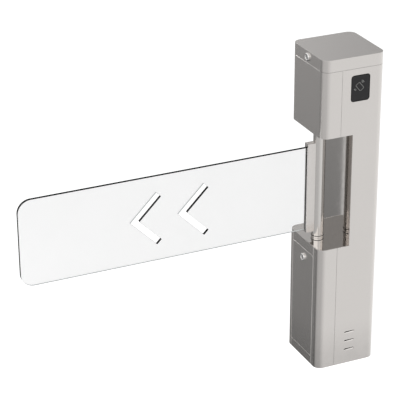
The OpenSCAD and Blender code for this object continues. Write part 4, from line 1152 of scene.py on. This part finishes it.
def ring_node(tree, turn, ring):
    """A ring of the studio: its brightness by the compass angle."""
    node = tree.nodes.new("ShaderNodeValToRGB")
    stops = node.color_ramp.elements
    stops.remove(stops[1])
    for angle, level in ring:
        stop = stops[0] if angle == -180 else stops.new(turn_share(angle))
        stop.position = turn_share(angle)
        stop.color = (*[level / RING_SCALE] * 3, 1)
    tree.links.new(turn, node.inputs["Fac"])
    return sum_node(tree, "MULTIPLY", node.outputs["Color"], RING_SCALE)


def blend_node(tree, mask, first, second):
    """One value over another by a mask."""
    node = tree.nodes.new("ShaderNodeMix")
    for number, value in ((0, mask), (2, first), (3, second)):
        feed(tree, node.inputs[number], value)
    return node.outputs[0]


def between(tree, value, first, last):
    """A mask that is 1 between two limits."""
    return sum_node(tree, "MULTIPLY", sum_node(tree, "GREATER_THAN", value, first),
        sum_node(tree, "LESS_THAN", value, last))


def make_world():
    """White for the camera, an even fill for matt surfaces, and a studio for what mirrors it."""
    world = bpy.context.scene.world or bpy.data.worlds.new("studio")
    bpy.context.scene.world = world
    world.cycles.sampling_method = "NONE"
    world.use_nodes = True
    tree = world.node_tree
    tree.nodes.clear()
    split = tree.nodes.new("ShaderNodeSeparateXYZ")
    tree.links.new(tree.nodes.new("ShaderNodeTexCoord").outputs["Generated"], split.inputs[0])
    height = split.outputs["Z"]
    angle = sum_node(tree, "ARCTAN2", split.outputs["Y"], split.outputs["X"])
    turn = sum_node(tree, "ADD", sum_node(tree, "DIVIDE", angle, 2 * math.pi), 0.5)
    lower = ring_node(tree, turn, LOWER_RING)
    shaded = sum_node(tree, "MULTIPLY", sum_node(tree, "SUBTRACT", 1.0, lower, True), DIM_RATE)
    rise = sum_node(tree, "MULTIPLY", sum_node(tree, "ADD", height, DIM_BELOW), shaded)
    lower = sum_node(tree, "MAXIMUM", sum_node(tree, "ADD", lower, rise), DIM_LEAST)
    lower = blend_node(tree, between(tree, turn, *map(turn_share, STRIP_TURNS)), lower, STRIP_LEVEL)
    walls = blend_node(tree, ramp_node(tree, height, *RING_CHANGE), lower,
        ring_node(tree, turn, UPPER_RING))
    for turns, heights, level in PATCHES:
        patch = sum_node(tree, "MULTIPLY", between(tree, turn, *map(turn_share, turns)),
            between(tree, height, *heights))
        walls = blend_node(tree, patch, walls, level)
    studio = blend_node(tree, ramp_node(tree, height, *CEILING_CHANGE), walls, CEILING)
    light_path = tree.nodes.new("ShaderNodeLightPath").outputs
    plain = sum_node(tree, "ADD", light_path["Is Camera Ray"], light_path["Is Transmission Ray"], True)
    level = blend_node(tree, light_path["Is Diffuse Ray"], studio, FILL)
    back = tree.nodes.new("ShaderNodeBackground")
    back.inputs["Color"].default_value = (1, 1, 1, 1)
    tree.links.new(blend_node(tree, plain, level, 1.0), back.inputs["Strength"])
    out = tree.nodes.new("ShaderNodeOutputWorld")
    tree.links.new(back.outputs[0], out.inputs["Surface"])


def add_lamp():
    """A square soft lamp in front of the post and to its left."""
    bpy.ops.object.light_add(type="AREA", location=LAMP_PLACE)
    lamp = bpy.context.active_object
    lamp.name = "key_lamp"
    lamp.data.shape = "SQUARE"
    lamp.data.size = LAMP_SIZE
    lamp.data.energy = LAMP_POWER
    lamp.visible_glossy = False
    lamp.rotation_mode = "QUATERNION"
    lamp.rotation_quaternion = (Vector(LAMP_TARGET) - Vector(LAMP_PLACE)).to_track_quat("-Z", "Y")


bpy.context.scene.view_settings.view_transform = "Standard"
place_camera()
make_floor()
make_world()
add_lamp()
make_column()
make_left_sheets()
make_lid()
make_door()
make_notch()
make_pole()
make_clamp()
make_panel()
make_lock("door_lock", DOOR_LOCK_Z, "door", "door_lock")
make_lock("lid_lock", LID_LOCK_Z, "lid", "lid_lock")
make_reader()
finish_nodes()
